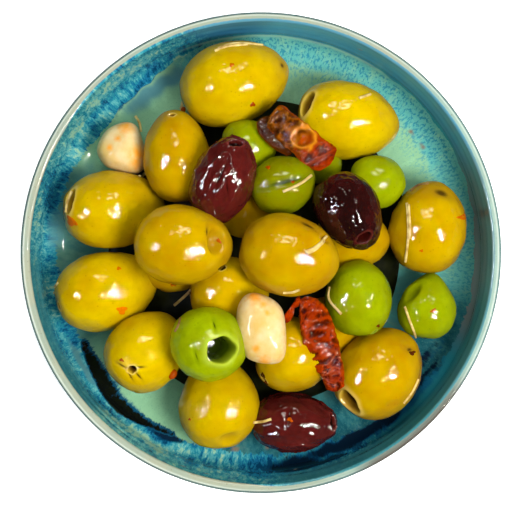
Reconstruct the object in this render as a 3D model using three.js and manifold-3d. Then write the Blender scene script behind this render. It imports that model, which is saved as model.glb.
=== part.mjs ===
// Bowl of marinated olives: a hand-thrown stoneware bowl with a heap of green, black and purple
// olives, two peeled garlic cloves and two pieces of dried tomato lying on them.
// Millimetres, +Z up. The bowl stands on z = 0 with its axis on the Z axis.
import * as THREE from 'three';
import { mergeVertices } from 'three/addons/utils/BufferGeometryUtils.js';
import Module from 'manifold-3d';

const wasm = await Module();
wasm.setup();

// ---- Driving dimensions of the bowl ----
const BOWL_DIAMETER = 152;
const BOWL_HEIGHT = 34;
const LIP_THICKNESS = 2.9;
const FLOOR_Z = 9.5; // top of the floor inside
const FLOOR_THICKNESS = 6;
const WALL_DRAFT = 1.9; // how much the inner wall opens from its foot to the lip
const INNER_FILLET = 9;
const SHOULDER_RADIUS = 74; // outer wall where it turns under
const SHOULDER_Z = 17;
const FOOT_RADIUS = 50;
const FOOT_WIDTH = 6;
const FOOT_HEIGHT = 3.5;
const BOWL_SEGMENTS = 64;
const ARC_STEPS = 4;

// ---- Driving dimensions of what fills it ----
const GAP = 0.35; // kept between pieces that touch
const OLIVE_SIDES = 12;
const OLIVE_STEPS = 8;
const CORE_RADIUS = 50;
const CORE_EDGE_Z = 17;
const CORE_TOP_Z = 33;
const NEEDLE_THICKNESS = 1.5;

// Each kind of olive: how much narrower it is towards its tip, and how far the tip stands out,
// both as a share of the girth and the length.
const QUEEN = { narrowing: 0.05, tip: 0.03 };
const ROUND = { narrowing: 0.03, tip: 0.01 };
const NIPPLED = { narrowing: 0.1, tip: 0.16 };
const ALMOND = { narrowing: 0.08, tip: 0.04 };

// The olives, outer ring first. x, y and z are the middle; heading and tilt turn the tip end, in
// degrees; length and girth are the caliper sizes. A pit is a hole in the upper side: where it
// sits from the middle in plan, its width, length, heading and depth.
const OLIVES = [
  { kind: QUEEN, x: -9, y: 54, z: 23.6, heading: 18, tilt: 0, length: 35.4, girth: 27 },
  { kind: QUEEN, x: 27.2, y: 42.7, z: 22.6, heading: -9, tilt: 0, length: 32.4, girth: 25.1,
    pit: { dx: -13.6, dy: 5.4, width: 3.6, length: 7.5, heading: 65, depth: 3.5 } },
  { kind: QUEEN, x: -47.6, y: 13.7, z: 22.5, heading: 6, tilt: -15, length: 33.3, girth: 24.5,
    pit: { dx: -13.4, dy: 2.4, width: 4.6, length: 8, heading: 80, depth: 5 } },
  { kind: QUEEN, x: -49.9, y: -12, z: 22.8, heading: 17, tilt: -15, length: 34, girth: 25.1 },
  { kind: QUEEN, x: -13.8, y: -48.7, z: 22.7, heading: 90, tilt: 0, length: 29.6, girth: 25.4,
    pit: { dx: 3.2, dy: -11, width: 4.6, length: 8, heading: 15, depth: 2.6 } },
  { kind: QUEEN, x: 37.3, y: -38.7, z: 23.1, heading: 50, tilt: 0, length: 31.5, girth: 26.4,
    pit: { dx: -10.4, dy: -10.6, width: 3.4, length: 10, heading: -52, depth: 3.4 } },
  { kind: QUEEN, x: 53.6, y: 7.8, z: 22.9, heading: 80, tilt: 0, length: 29.9, girth: 24.8 },
  { kind: NIPPLED, x: 53.2, y: -18, z: 21, heading: 80, tilt: 0, length: 20.4, girth: 19 },
  { kind: ALMOND, x: 10.3, y: -54.6, z: 21, heading: -2, tilt: 0, length: 27.8, girth: 18.7 },
  { kind: ROUND, x: 36.8, y: 22.6, z: 26, heading: 0, tilt: 0, length: 18.6, girth: 17.5 },
  { kind: QUEEN, x: -37, y: -31.4, z: 28, heading: 50, tilt: 0, length: 27.4, girth: 24.3,
    pit: { dx: -4.4, dy: -4.8, width: 2.8, length: 3.4, heading: 20, depth: 4.5 } },
  { kind: ROUND, x: 18.4, y: 28.7, z: 20.5, heading: 0, tilt: 0, length: 15.5, girth: 14 },
  { kind: QUEEN, x: 20.8, y: -23.4, z: 20, heading: 0, tilt: 0, length: 22, girth: 19 },
  { kind: QUEEN, x: -27.7, y: -3, z: 22, heading: 0, tilt: 0, length: 22, girth: 19.3 },
  { kind: QUEEN, x: -4.2, y: 11.2, z: 23, heading: 0, tilt: 0, length: 22, girth: 19 },
  { kind: QUEEN, x: 28.6, y: 4.1, z: 23, heading: 0, tilt: 0, length: 25, girth: 20 },
  { kind: QUEEN, x: -26.5, y: 30.2, z: 28, heading: 97, tilt: 0, length: 30, girth: 21.8 },
  { kind: ROUND, x: -4.1, y: 34, z: 28, heading: 0, tilt: 0, length: 18.5, girth: 17.2 },
  { kind: ROUND, x: 6.6, y: 21.4, z: 35, heading: 15, tilt: 0, length: 21.5, girth: 18.3 },
  { kind: ROUND, x: 31, y: -14.7, z: 31, heading: 90, tilt: 0, length: 24.8, girth: 21.6 },
  { kind: QUEEN, x: 10.2, y: -32.3, z: 29, heading: 0, tilt: 0, length: 25.5, girth: 24.2 },
  { kind: QUEEN, x: -10.5, y: -12.5, z: 30, heading: 0, tilt: 0, length: 25.4, girth: 22.9 },
  { kind: ALMOND, x: -11.9, y: 22.7, z: 40.5, heading: 69, tilt: 14, length: 28.5, girth: 19.4 },
  { kind: ALMOND, x: 27.3, y: 13.1, z: 38, heading: -58, tilt: 0, length: 25.7, girth: 20.1,
    pit: { dx: 4.6, dy: -8.6, width: 3.8, length: 5.6, heading: -30, depth: 4.5 } },
  { kind: QUEEN, x: -24.5, y: 2.4, z: 42.5, heading: -2, tilt: 0, length: 30.8, girth: 24.9,
    pit: { dx: 11.2, dy: 1.6, width: 4.4, length: 6.6, heading: 75, depth: 3.6 } },
  { kind: ROUND, x: -16.2, y: -28.4, z: 43, heading: -21, tilt: 68, length: 26, girth: 23.4,
    pit: { dx: 4.1, dy: -1.6, width: 8.2, length: 9.4, heading: 85, depth: 13 } },
  { kind: QUEEN, x: 8.4, y: -0.7, z: 44, heading: -12, tilt: 0, length: 31.4, girth: 24.9,
    pit: { dx: 11.6, dy: 5, width: 3.2, length: 5, heading: 40, depth: 1.4 } },
];

// Rosemary needles, each hugging what lies under it: start, middle and end in plan.
const NEEDLES = [
  [[-13.6, 64.7], [-8.2, 66.4], [0.6, 66.2]],
  [[-60.2, 19.5], [-61.6, 16], [-62, 12.8]],
  [[-28, -17], [-25.1, -14.5], [-22.3, -11.9]],
  [[6.8, 18.9], [12.1, 21.4], [15.8, 24.2]],
  [[13.5, 0.2], [17.2, 2.1], [20.2, 5.1]],
  [[6.8, -12.3], [9.4, -12.2], [11.8, -11.4]],
  [[21.6, -10.8], [21.4, -14.8], [25.1, -19.2]],
  [[45.9, -17.3], [47.5, -22.1], [49.8, -27.2]],
  [[45.3, -47.8], [48, -44.2], [50, -40.3]],
  [[46.2, 15.7], [46.5, 6.6], [45.9, -2.9]],
  [[47.8, 19.6], [50.3, 21.6], [53.4, 22]],
  [[-2.4, -54.1], [0.3, -53.8], [3.2, -52.8]],
  [[31, 49], [32.9, 49.8], [34.8, 50.5]],
];

// Seeds and scraps of spice caught on the olives: middle in plan, width and length.
const SEEDS = [
  { x: -27.9, y: -38.4, width: 2.5, length: 3.4, heading: 60 },
  { x: -49, y: -17.6, width: 2, length: 2.6, heading: 20 },
];

// Garlic cloves: outline in plan, the height of the widest line, and the rise and drop from it.
const GARLIC_1 = {
  outline: [[-52.6, 31], [-51.4, 37.6], [-45.4, 41.9], [-39.6, 40.5], [-36.9, 31.5], [-41, 25.4],
    [-48.4, 26.8]],
  middleZ: 19.5, rise: 9, drop: 9.2,
};
const GARLIC_2 = {
  outline: [[-7.7, -20.2], [-6.4, -14.6], [-1.6, -12.3], [4.3, -14.7], [7.6, -21.4], [7.9, -29.6],
    [4.8, -34.4], [-2.8, -33.5], [-6.6, -27]],
  middleZ: 44.5, rise: 7.2, drop: 7,
};
// The needle that stands out from under the first clove: start, middle and end.
const GARLIC_NEEDLE = [[-40.8, 44.8, 24.5], [-39.8, 42.4, 25.6], [-39.4, 39.4, 26.2]];

// Dried tomato: each piece is two sheets that stuck together. A sheet lies between two edges, given
// in plan, at heights told along it.
const TOMATO_1 = [
  {
    left: [[3.4, 44.1], [6.3, 46.3], [9.7, 43.8], [13.2, 41.3], [16.3, 38.8], [19.7, 35.6],
      [22.6, 33.8], [24.4, 31.6]],
    right: [[2.2, 41.9], [1.6, 39.7], [4.1, 36.6], [7.2, 33.4], [9.7, 31.6], [12.2, 28.7],
      [15, 26.5], [20.1, 25.3]],
    heights: [37, 38, 38.4, 38, 36.5],
    thickness: 5.2,
  },
  {
    left: [[2.8, 43.5], [3.4, 41], [5.3, 38.1], [7.8, 35], [10.3, 32.2]],
    right: [[-1.6, 41.6], [-0.9, 37.8], [1.3, 35], [4.1, 32.5], [9.1, 30]],
    heights: [36.2, 36.8, 37, 36.8, 36],
    thickness: 3.4,
  },
];
const TOMATO_2 = [
  {
    left: [[12.2, -13.6], [16, -13.9], [19.1, -15.8], [21.6, -19.5], [23.2, -24.2], [24.4, -28.3],
      [25.1, -32.4], [26, -36.1], [26.3, -40.2], [26, -43.3]],
    right: [[11.9, -16.4], [11.9, -19.8], [12.2, -23], [12.8, -26.7], [14.1, -31.1], [16, -34.9],
      [18.2, -38], [19.1, -39.3], [20.1, -41.8], [21, -44]],
    heights: [41, 41, 40.5, 40, 39, 38, 37, 36, 35, 34.5],
    thickness: 5,
  },
  {
    left: [[12.2, -13], [10.6, -14.9], [10.3, -18.8], [9.2, -21.4]],
    right: [[12.2, -16.6], [8.4, -18.2], [6.7, -20.5], [7.4, -22.2]],
    heights: [41, 41.2, 41, 40.4],
    thickness: 3.4,
  },
];
const SHEET_STEPS = 16;
const SHEET_SIDES = 10;
const CRUMPLE = 0.6; // how high the folds across a dried sheet stand
const CRUMPLE_WAVES = 5;

const PLAN_AXIS = new THREE.Vector3(0, 0, 1);
const SIDE_AXIS = new THREE.Vector3(0, 1, 0);

// ---- Joining and cutting ----

// Turns a closed geometry into a solid; triangles with a doubled corner, as at a lathe's poles,
// are left out.
function solidOf(geometry) {
  const bare = geometry.clone();
  bare.deleteAttribute('normal');
  bare.deleteAttribute('uv');
  const merged = mergeVertices(bare);
  const index = merged.index.array;
  const triangles = [];
  for (let i = 0; i < index.length; i += 3) {
    const [a, b, c] = index.slice(i, i + 3);
    if (a !== b && b !== c && c !== a) triangles.push(a, b, c);
  }
  return new wasm.Manifold(new wasm.Mesh({
    numProp: 3,
    vertProperties: new Float32Array(merged.attributes.position.array),
    triVerts: new Uint32Array(triangles),
  }));
}

function geometryOf(solid) {
  const mesh = solid.getMesh();
  const geometry = new THREE.BufferGeometry();
  geometry.setAttribute('position', new THREE.BufferAttribute(mesh.vertProperties, 3));
  geometry.setIndex(new THREE.BufferAttribute(mesh.triVerts, 1));
  geometry.computeVertexNormals();
  return geometry;
}

function joined(solids) {
  return solids.reduce((whole, piece) => whole.add(piece));
}

// The largest body of a solid: loose scraps are dropped, and so are sealed hollows.
function largestBody(solid) {
  const bodies = solid.decompose();
  return bodies.reduce((best, body) => (body.volume() > best.volume() ? body : best));
}

// ---- The bowl ----

// Half section of the bowl from the middle of the underside, over the lip, to the middle of the
// floor.
function bowlSection() {
  const rimRadius = BOWL_DIAMETER / 2;
  const lipRadius = LIP_THICKNESS / 2;
  const wallFootRadius = rimRadius - LIP_THICKNESS - WALL_DRAFT;
  const undersideZ = FLOOR_Z - FLOOR_THICKNESS;
  const section = new THREE.Path();
  section.moveTo(0, undersideZ);
  section.lineTo(FOOT_RADIUS - FOOT_WIDTH - FOOT_HEIGHT, undersideZ);
  section.lineTo(FOOT_RADIUS - FOOT_WIDTH, 0);
  section.lineTo(FOOT_RADIUS, 0);
  section.lineTo(FOOT_RADIUS + FOOT_HEIGHT / 2, FOOT_HEIGHT);
  section.quadraticCurveTo(SHOULDER_RADIUS - 1, FOOT_HEIGHT + 2, SHOULDER_RADIUS, SHOULDER_Z);
  section.lineTo(rimRadius, BOWL_HEIGHT - lipRadius);
  section.absarc(rimRadius - lipRadius, BOWL_HEIGHT - lipRadius, lipRadius, 0, Math.PI);
  section.lineTo(wallFootRadius, FLOOR_Z + INNER_FILLET);
  section.absarc(wallFootRadius - INNER_FILLET, FLOOR_Z + INNER_FILLET, INNER_FILLET,
    0, -Math.PI / 2, true);
  section.lineTo(0, FLOOR_Z);
  return section.getPoints(ARC_STEPS);
}

function bowlSolid() {
  const geometry = new THREE.LatheGeometry(bowlSection(), BOWL_SEGMENTS);
  geometry.rotateX(Math.PI / 2);
  return solidOf(geometry);
}

// ---- Olives ----

// Turns that carry an olive's own axes, tip towards +X, to its place in the heap.
function turnOf({ heading, tilt }) {
  const turn = new THREE.Matrix4();
  turn.makeRotationAxis(PLAN_AXIS, THREE.MathUtils.degToRad(heading));
  const lift = new THREE.Matrix4();
  lift.makeRotationAxis(SIDE_AXIS, -THREE.MathUtils.degToRad(tilt));
  return turn.multiply(lift);
}

// Height of an olive's upper side at a point in plan, or -Infinity beside it. The olive counts
// as an ellipsoid: along the upright line, |(p + z u) / half| = 1 is solved for the larger z.
function oliveTop(olive, x, y) {
  const back = turnOf(olive).invert();
  const half = new THREE.Vector3(olive.length / 2, olive.girth / 2, olive.girth / 2);
  const across = new THREE.Vector3(x - olive.x, y - olive.y, 0).applyMatrix4(back).divide(half);
  const upright = new THREE.Vector3(0, 0, 1).applyMatrix4(back).divide(half);
  const b = across.dot(upright) / upright.lengthSq();
  const c = (across.lengthSq() - 1) / upright.lengthSq();
  const root = b * b - c;
  return root < 0 ? -Infinity : olive.z - b + Math.sqrt(root);
}

// Upper side of the bare core, a low mound.
function coreTop(x, y) {
  const share = Math.min(Math.hypot(x, y) / CORE_RADIUS, 1);
  return CORE_EDGE_Z + (CORE_TOP_Z - CORE_EDGE_Z) * Math.cos(share * Math.PI / 2);
}

function heapTop(x, y) {
  return Math.max(coreTop(x, y), ...OLIVES.map((olive) => oliveTop(olive, x, y)));
}

// A hole into an olive's upper side: an ellipsoid sunk square to the skin.
function pitCutter(olive) {
  const { dx, dy, width, length, heading, depth } = olive.pit;
  const x = olive.x + dx;
  const y = olive.y + dy;
  const mouth = new THREE.Vector3(x, y, oliveTop(olive, x, y));
  const outward = new THREE.Vector3(dx, dy, mouth.z - olive.z).normalize();
  const cutter = new THREE.SphereGeometry(0.5, 8, 6);
  cutter.scale(length, width, 2 * depth);
  cutter.rotateZ(THREE.MathUtils.degToRad(heading));
  cutter.applyQuaternion(new THREE.Quaternion().setFromUnitVectors(PLAN_AXIS, outward));
  cutter.translate(mouth.x, mouth.y, mouth.z);
  return solidOf(cutter);
}

// An olive, larger all round by grow where it is used to cut its neighbours clear.
function oliveSolid(olive, grow) {
  const { narrowing, tip } = olive.kind;
  const halfLength = olive.length / 2 + grow;
  const halfGirth = olive.girth / 2 + grow;
  const profile = [];
  for (let i = 0; i <= OLIVE_STEPS; i += 1) {
    const along = -Math.cos((i / OLIVE_STEPS) * Math.PI);
    const radius = i === 0 || i === OLIVE_STEPS ? 0 : Math.sqrt(1 - along * along);
    const stretch = 1 + (along > 0 ? tip * along ** 4 : 0);
    profile.push(new THREE.Vector2(radius * halfGirth * (1 - narrowing * along),
      along * stretch * halfLength));
  }
  const geometry = new THREE.LatheGeometry(profile, OLIVE_SIDES);
  geometry.rotateZ(-Math.PI / 2);
  geometry.applyMatrix4(turnOf(olive));
  geometry.translate(olive.x, olive.y, olive.z);
  const whole = solidOf(geometry);
  return olive.pit && grow === 0 ? whole.subtract(pitCutter(olive)) : whole;
}

// ---- What lies on the olives ----

// A thin round sprig along a short bend.
function needleSolid(points, grow) {
  const radius = NEEDLE_THICKNESS / 2 + grow;
  const section = new THREE.Shape();
  for (let i = 0; i < 4; i += 1) {
    const angle = (i / 4) * 2 * Math.PI;
    const corner = [radius * Math.cos(angle), radius * Math.sin(angle)];
    if (i === 0) section.moveTo(...corner);
    else section.lineTo(...corner);
  }
  const path = new THREE.CatmullRomCurve3(points.map((point) => new THREE.Vector3(...point)));
  return solidOf(new THREE.ExtrudeGeometry(section, { steps: 3, extrudePath: path }));
}

function heapNeedle(plan, grow) {
  const sink = NEEDLE_THICKNESS / 6;
  return needleSolid(plan.map(([x, y]) => [x, y, heapTop(x, y) + sink]), grow);
}

function seedSolid({ x, y, width, length, heading }, grow) {
  const geometry = new THREE.SphereGeometry(0.5, 6, 4);
  geometry.scale(length + 2 * grow, width + 2 * grow, width + 2 * grow);
  geometry.rotateZ(THREE.MathUtils.degToRad(heading));
  geometry.translate(x, y, heapTop(x, y));
  return solidOf(geometry);
}

// Low mound under the olives that binds them into one body.
function coreSolid() {
  const section = [new THREE.Vector2(0, FLOOR_Z + GAP),
    new THREE.Vector2(CORE_RADIUS, FLOOR_Z + GAP)];
  const steps = 5;
  for (let i = 0; i <= steps; i += 1) {
    const radius = CORE_RADIUS * (1 - i / steps);
    section.push(new THREE.Vector2(radius, coreTop(radius, 0)));
  }
  const geometry = new THREE.LatheGeometry(section, 24);
  geometry.rotateX(Math.PI / 2);
  return solidOf(geometry);
}

function heapSolid(grow) {
  return joined([
    coreSolid(),
    ...OLIVES.map((olive) => oliveSolid(olive, grow)),
    ...NEEDLES.map((plan) => heapNeedle(plan, grow)),
    ...SEEDS.map((seed) => seedSolid(seed, grow)),
  ]);
}

// ---- Toppings ----

// A closed skin through rings of points, with a point at each end.
function loftSolid(rings, start, end) {
  const sides = rings[0].length;
  const points = [start, ...rings.flat(), end];
  const faces = [];
  const at = (ring, side) => 1 + ring * sides + (side % sides);
  for (let side = 0; side < sides; side += 1) {
    faces.push(0, at(0, side + 1), at(0, side));
    for (let ring = 0; ring + 1 < rings.length; ring += 1) {
      const [a, b] = [at(ring, side), at(ring, side + 1)];
      const [c, d] = [at(ring + 1, side), at(ring + 1, side + 1)];
      faces.push(a, b, d, a, d, c);
    }
    faces.push(at(rings.length - 1, side), at(rings.length - 1, side + 1), points.length - 1);
  }
  const geometry = new THREE.BufferGeometry().setFromPoints(points);
  geometry.setIndex(faces);
  return solidOf(geometry);
}

// A peeled clove: its outline domed over above and below the widest line.
function cloveSolid({ outline, middleZ, rise, drop }) {
  const curve = new THREE.CatmullRomCurve3(
    outline.map(([x, y]) => new THREE.Vector3(x, y, 0)), true);
  const rim = curve.getSpacedPoints(22).slice(0, -1);
  if (THREE.ShapeUtils.area(rim) < 0) rim.reverse();
  const middle = rim.reduce((sum, point) => sum.add(point), new THREE.Vector3());
  middle.divideScalar(rim.length);
  const rings = [-65, -40, -15, 15, 40, 65].map((degrees) => {
    const angle = THREE.MathUtils.degToRad(degrees);
    const height = (degrees < 0 ? drop : rise) * Math.sin(angle);
    return rim.map((point) => {
      const shrunk = middle.clone().lerp(point, Math.cos(angle));
      return shrunk.setZ(middleZ + height);
    });
  });
  return loftSolid(rings, middle.clone().setZ(middleZ - drop), middle.clone().setZ(middleZ + rise));
}

// A dried strip: a flat round section carried along its middle line, with wrinkles across it.
function sheetSolid({ left, right, heights, thickness }) {
  const pathOf = (points) => new THREE.CatmullRomCurve3(
    points.map(([x, y, z = 0]) => new THREE.Vector3(x, y, z)),
  );
  const leftEdge = pathOf(left);
  const rightEdge = pathOf(right);
  const rise = pathOf(heights.map((height, i) => [i, 0, height]));
  const rings = [];
  for (let step = 0; step <= SHEET_STEPS; step += 1) {
    const share = step / SHEET_STEPS;
    const near = leftEdge.getPoint(share);
    const far = rightEdge.getPoint(share);
    const middle = near.clone().lerp(far, 0.5).setZ(rise.getPoint(share).z);
    const across = near.clone().sub(far).multiplyScalar(0.5);
    const ring = [];
    for (let side = 0; side < SHEET_SIDES; side += 1) {
      const angle = (side / SHEET_SIDES) * 2 * Math.PI;
      const fold = CRUMPLE * Math.sin(CRUMPLE_WAVES * 2 * Math.PI * share + angle);
      const point = middle.clone().addScaledVector(across, Math.cos(angle));
      point.z += (thickness / 2 + fold) * Math.sin(angle);
      ring.push(point);
    }
    rings.push(ring);
  }
  const middleOf = (ring) => ring.reduce((sum, point) => sum.add(point), new THREE.Vector3())
    .divideScalar(ring.length);
  return loftSolid(rings, middleOf(rings[0]), middleOf(rings[SHEET_STEPS]));
}

const tomatoSolid = (sheets) => joined(sheets.map(sheetSolid));

// ---- The dressed bowl ----

const heap = largestBody(heapSolid(0));
const clearance = heapSolid(GAP);
const rested = (solid) => largestBody(solid.subtract(clearance));
const clove1 = cloveSolid(GARLIC_1).add(needleSolid(GARLIC_NEEDLE, 0));

const glaze = { color: 0x3f9097, roughness: 0.25, metalness: 0 };
const oliveSkin = { color: 0xc9a80f, roughness: 0.3, metalness: 0 };
const garlicFlesh = { color: 0xf6e2b6, roughness: 0.45, metalness: 0 };
const tomatoSkin = { color: 0x8c210a, roughness: 0.4, metalness: 0 };

const parts = [
  ['bowl', bowlSolid(), glaze],
  ['olive_heap', heap, oliveSkin],
  ['garlic_clove_1', rested(clove1), garlicFlesh],
  ['garlic_clove_2', rested(cloveSolid(GARLIC_2)), garlicFlesh],
  ['dried_tomato_1', rested(tomatoSolid(TOMATO_1)), tomatoSkin],
  ['dried_tomato_2', rested(tomatoSolid(TOMATO_2)), tomatoSkin],
];

const group = new THREE.Group();
for (const [name, solid, look] of parts) {
  const mesh = new THREE.Mesh(geometryOf(solid), new THREE.MeshStandardMaterial(look));
  mesh.name = name;
  group.add(mesh);
}

export default group;
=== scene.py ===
import math

import bpy
import numpy as np
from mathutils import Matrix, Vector, noise
from mathutils.bvhtree import BVHTree


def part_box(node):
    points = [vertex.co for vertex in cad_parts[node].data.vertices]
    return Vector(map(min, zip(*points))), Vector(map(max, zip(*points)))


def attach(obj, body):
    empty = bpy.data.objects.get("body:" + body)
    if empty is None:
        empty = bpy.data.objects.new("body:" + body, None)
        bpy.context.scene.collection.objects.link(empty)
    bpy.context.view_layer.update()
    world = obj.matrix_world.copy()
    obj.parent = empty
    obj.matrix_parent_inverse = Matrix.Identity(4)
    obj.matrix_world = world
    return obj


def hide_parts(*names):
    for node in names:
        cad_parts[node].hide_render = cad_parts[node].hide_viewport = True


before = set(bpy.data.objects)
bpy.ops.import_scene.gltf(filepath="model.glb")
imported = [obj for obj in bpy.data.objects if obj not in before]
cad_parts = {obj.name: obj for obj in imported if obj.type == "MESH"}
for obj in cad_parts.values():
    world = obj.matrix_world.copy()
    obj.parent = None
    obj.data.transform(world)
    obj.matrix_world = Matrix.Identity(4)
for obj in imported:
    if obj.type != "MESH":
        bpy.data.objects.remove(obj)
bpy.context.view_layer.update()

# ---- Stoneware bowl ----
# One shallow bowl thrown on a wheel. Its reactive glaze broke to pale sage over the lip, ran down
# the wall in blue and turquoise streaks, and pooled almost black where the wall meets the floor.

MM = 0.001
BODY = "root"

bowl_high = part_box("bowl")[1]
RIM_RADIUS = bowl_high.x / MM
RIM_Z = bowl_high.z / MM
LIP_THICKNESS = 2.9
LIP_OUTER_ROUND = 1.2
LIP_INNER_ROUND = 0.9
LIP_FALL = 0.7
WALL_DRAFT = 1.9
WALL_TOP_RADIUS = RIM_RADIUS - LIP_THICKNESS
FLOOR_Z = 9.5
UNDERSIDE_Z = 3.5
INNER_FILLET = 9.0
SHOULDER_RADIUS = 74.0
SHOULDER_Z = 17.0
FOOT_OUTER = 50.0
FOOT_INNER = 44.0
FOOT_HEIGHT = 3.5
BOWL_SIDES = 360
LIP_EDGE_Z = RIM_Z - LIP_FALL - LIP_INNER_ROUND  # where the lip's inner round meets the wall
OUT_OF_ROUND = 0.002  # share of the radius
THROWING_RING = 0.05  # height of the rings that the potter's fingers left
FLOW_RADIUS = 70.0  # the glaze's grain is laid out on a ring of this radius, near the wall's foot
FLOW_SEED = 1


def linear(hex_colour):
    """An sRGB hex colour as linear red, green, blue and a full alpha."""
    parts = [int(hex_colour[i:i + 2], 16) / 255 for i in (1, 3, 5)]
    return tuple(p / 12.92 if p <= 0.04045 else ((p + 0.055) / 1.055) ** 2.4 for p in parts) + (1.0,)


def add_node(tree, kind, inputs=(), out=0, **settings):
    """Adds a node with its settings and its inputs, as values or sockets to link; gives one output."""
    made = tree.nodes.new(kind)
    for name, value in settings.items():
        setattr(made, name, value)
    pairs = inputs.items() if isinstance(inputs, dict) else enumerate(inputs)
    for key, value in pairs:
        if isinstance(value, bpy.types.NodeSocket):
            tree.links.new(value, made.inputs[key])
        else:
            made.inputs[key].default_value = value
    return made.outputs[out] if made.outputs else made


MATH = "ShaderNodeMath"
SCALE = "ShaderNodeVectorMath"
RANGE = "ShaderNodeMapRange"  # value, from low, from high, to low, to high
NOISE = "ShaderNodeTexNoise"
MARK = "ShaderNodeAttribute"  # a mark that the mesh carries on its points
BUMP = "ShaderNodeBump"
SMOOTH = {"interpolation_type": "SMOOTHSTEP"}
TIMES = {"operation": "MULTIPLY"}
PLUS = {"operation": "ADD"}
TIMES_PLUS = {"operation": "MULTIPLY_ADD"}  # the first times the second, plus the third


def painted(tree, base, *layers):
    """Colours laid over base in turn. Each is (share, colour), and it hides what is under it where
    share is 1; a third value weakens the whole layer."""
    for share, colour, *strength in layers:
        if strength:
            share = add_node(tree, MATH, (share, strength[0]), **TIMES)
        over = linear(colour) if isinstance(colour, str) else colour
        base = add_node(tree, "ShaderNodeMix", {0: share, 6: base, 7: over}, 2, data_type="RGBA")
    return base


def stirred(tree, value, grain, sway):
    """A value that a noise round 0.5 moves up and down, by sway from its lowest to its highest."""
    lowered = add_node(tree, MATH, (value, -sway / 2), **PLUS)
    return add_node(tree, MATH, (grain, sway, lowered), **TIMES_PLUS)


def in_mm(tree):
    """Places on a piece, in millimetres."""
    metres = add_node(tree, "ShaderNodeTexCoord", (), "Object")
    return add_node(tree, SCALE, (metres, (1 / MM, 1 / MM, 1 / MM)), **TIMES)


def new_material(name):
    """An empty material and its node tree."""
    material = bpy.data.materials.new(name)
    material.use_nodes = True
    material.node_tree.nodes.clear()
    return material, material.node_tree


def finished(material, tree, sockets):
    """Closes a material with one shader that has these inputs."""
    surface = add_node(tree, "ShaderNodeBsdfPrincipled", sockets)
    add_node(tree, "ShaderNodeOutputMaterial", {"Surface": surface})
    return material


def wrapped(start, rings, end):
    """Points and faces of a closed skin: a pole, rings of points, and a pole at the other end."""
    count, sides = rings.shape[:2]
    points = np.concatenate([[start], rings.reshape(-1, 3), [end]])
    here = np.arange(sides)
    following = (here + 1) % sides
    faces = [[0, 1 + b, 1 + a] for a, b in zip(here.tolist(), following.tolist())]
    for ring in range(count - 1):
        near, far = 1 + ring * sides, 1 + (ring + 1) * sides
        faces += np.stack([near + here, near + following, far + following, far + here], axis=1).tolist()
    last = 1 + (count - 1) * sides
    faces += [[last + a, last + b, len(points) - 1] for a, b in zip(here.tolist(), following.tolist())]
    return points, faces


def make_piece(name, parts, material, slot, *nodes):
    """Joins parts, each (points in mm, faces, marks), into one smooth mesh that rides on the body."""
    points, faces = [], []
    start = 0
    for part_points, part_faces, _ in parts:
        corners = part_points[np.array([face[:3] for face in part_faces])]
        volume = np.einsum("ij,ij->", corners[:, 0], np.cross(corners[:, 1], corners[:, 2]))
        turned = part_faces if volume > 0 else [face[::-1] for face in part_faces]
        points.append(part_points)
        faces += [[corner + start for corner in face] for face in turned]
        start += len(part_points)
    mesh = bpy.data.meshes.new(name)
    mesh.from_pydata((np.concatenate(points) * MM).tolist(), [], faces)
    for mark in parts[0][2]:
        values = np.concatenate([part[2][mark] for part in parts]).astype(np.float32)
        is_vector = values.ndim == 2
        attribute = mesh.attributes.new(mark, "FLOAT_VECTOR" if is_vector else "FLOAT", "POINT")
        attribute.data.foreach_set("vector" if is_vector else "value", values.ravel())
    mesh.shade_smooth()
    mesh.materials.append(material)
    piece = bpy.data.objects.new(name, mesh)
    bpy.context.scene.collection.objects.link(piece)
    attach(piece, BODY)
    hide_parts(*nodes)
    return piece


def smooth_step(values, low, high):
    """0 up to low and 1 past high, easing in and out between them."""
    share = np.clip((values - low) / (high - low), 0, 1)
    return share * share * (3 - 2 * share)


def arc(centre, radius, start, end, steps):
    """Points of an arc in the half section, as (distance from the axis, height)."""
    angles = np.radians(np.linspace(start, end, steps))
    return np.column_stack([centre[0] + radius * np.cos(angles), centre[1] + radius * np.sin(angles)])


def stretch(start, end, steps):
    """Points of a straight part of the half section."""
    return np.column_stack([np.linspace(start[0], end[0], steps), np.linspace(start[1], end[1], steps)])


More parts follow.
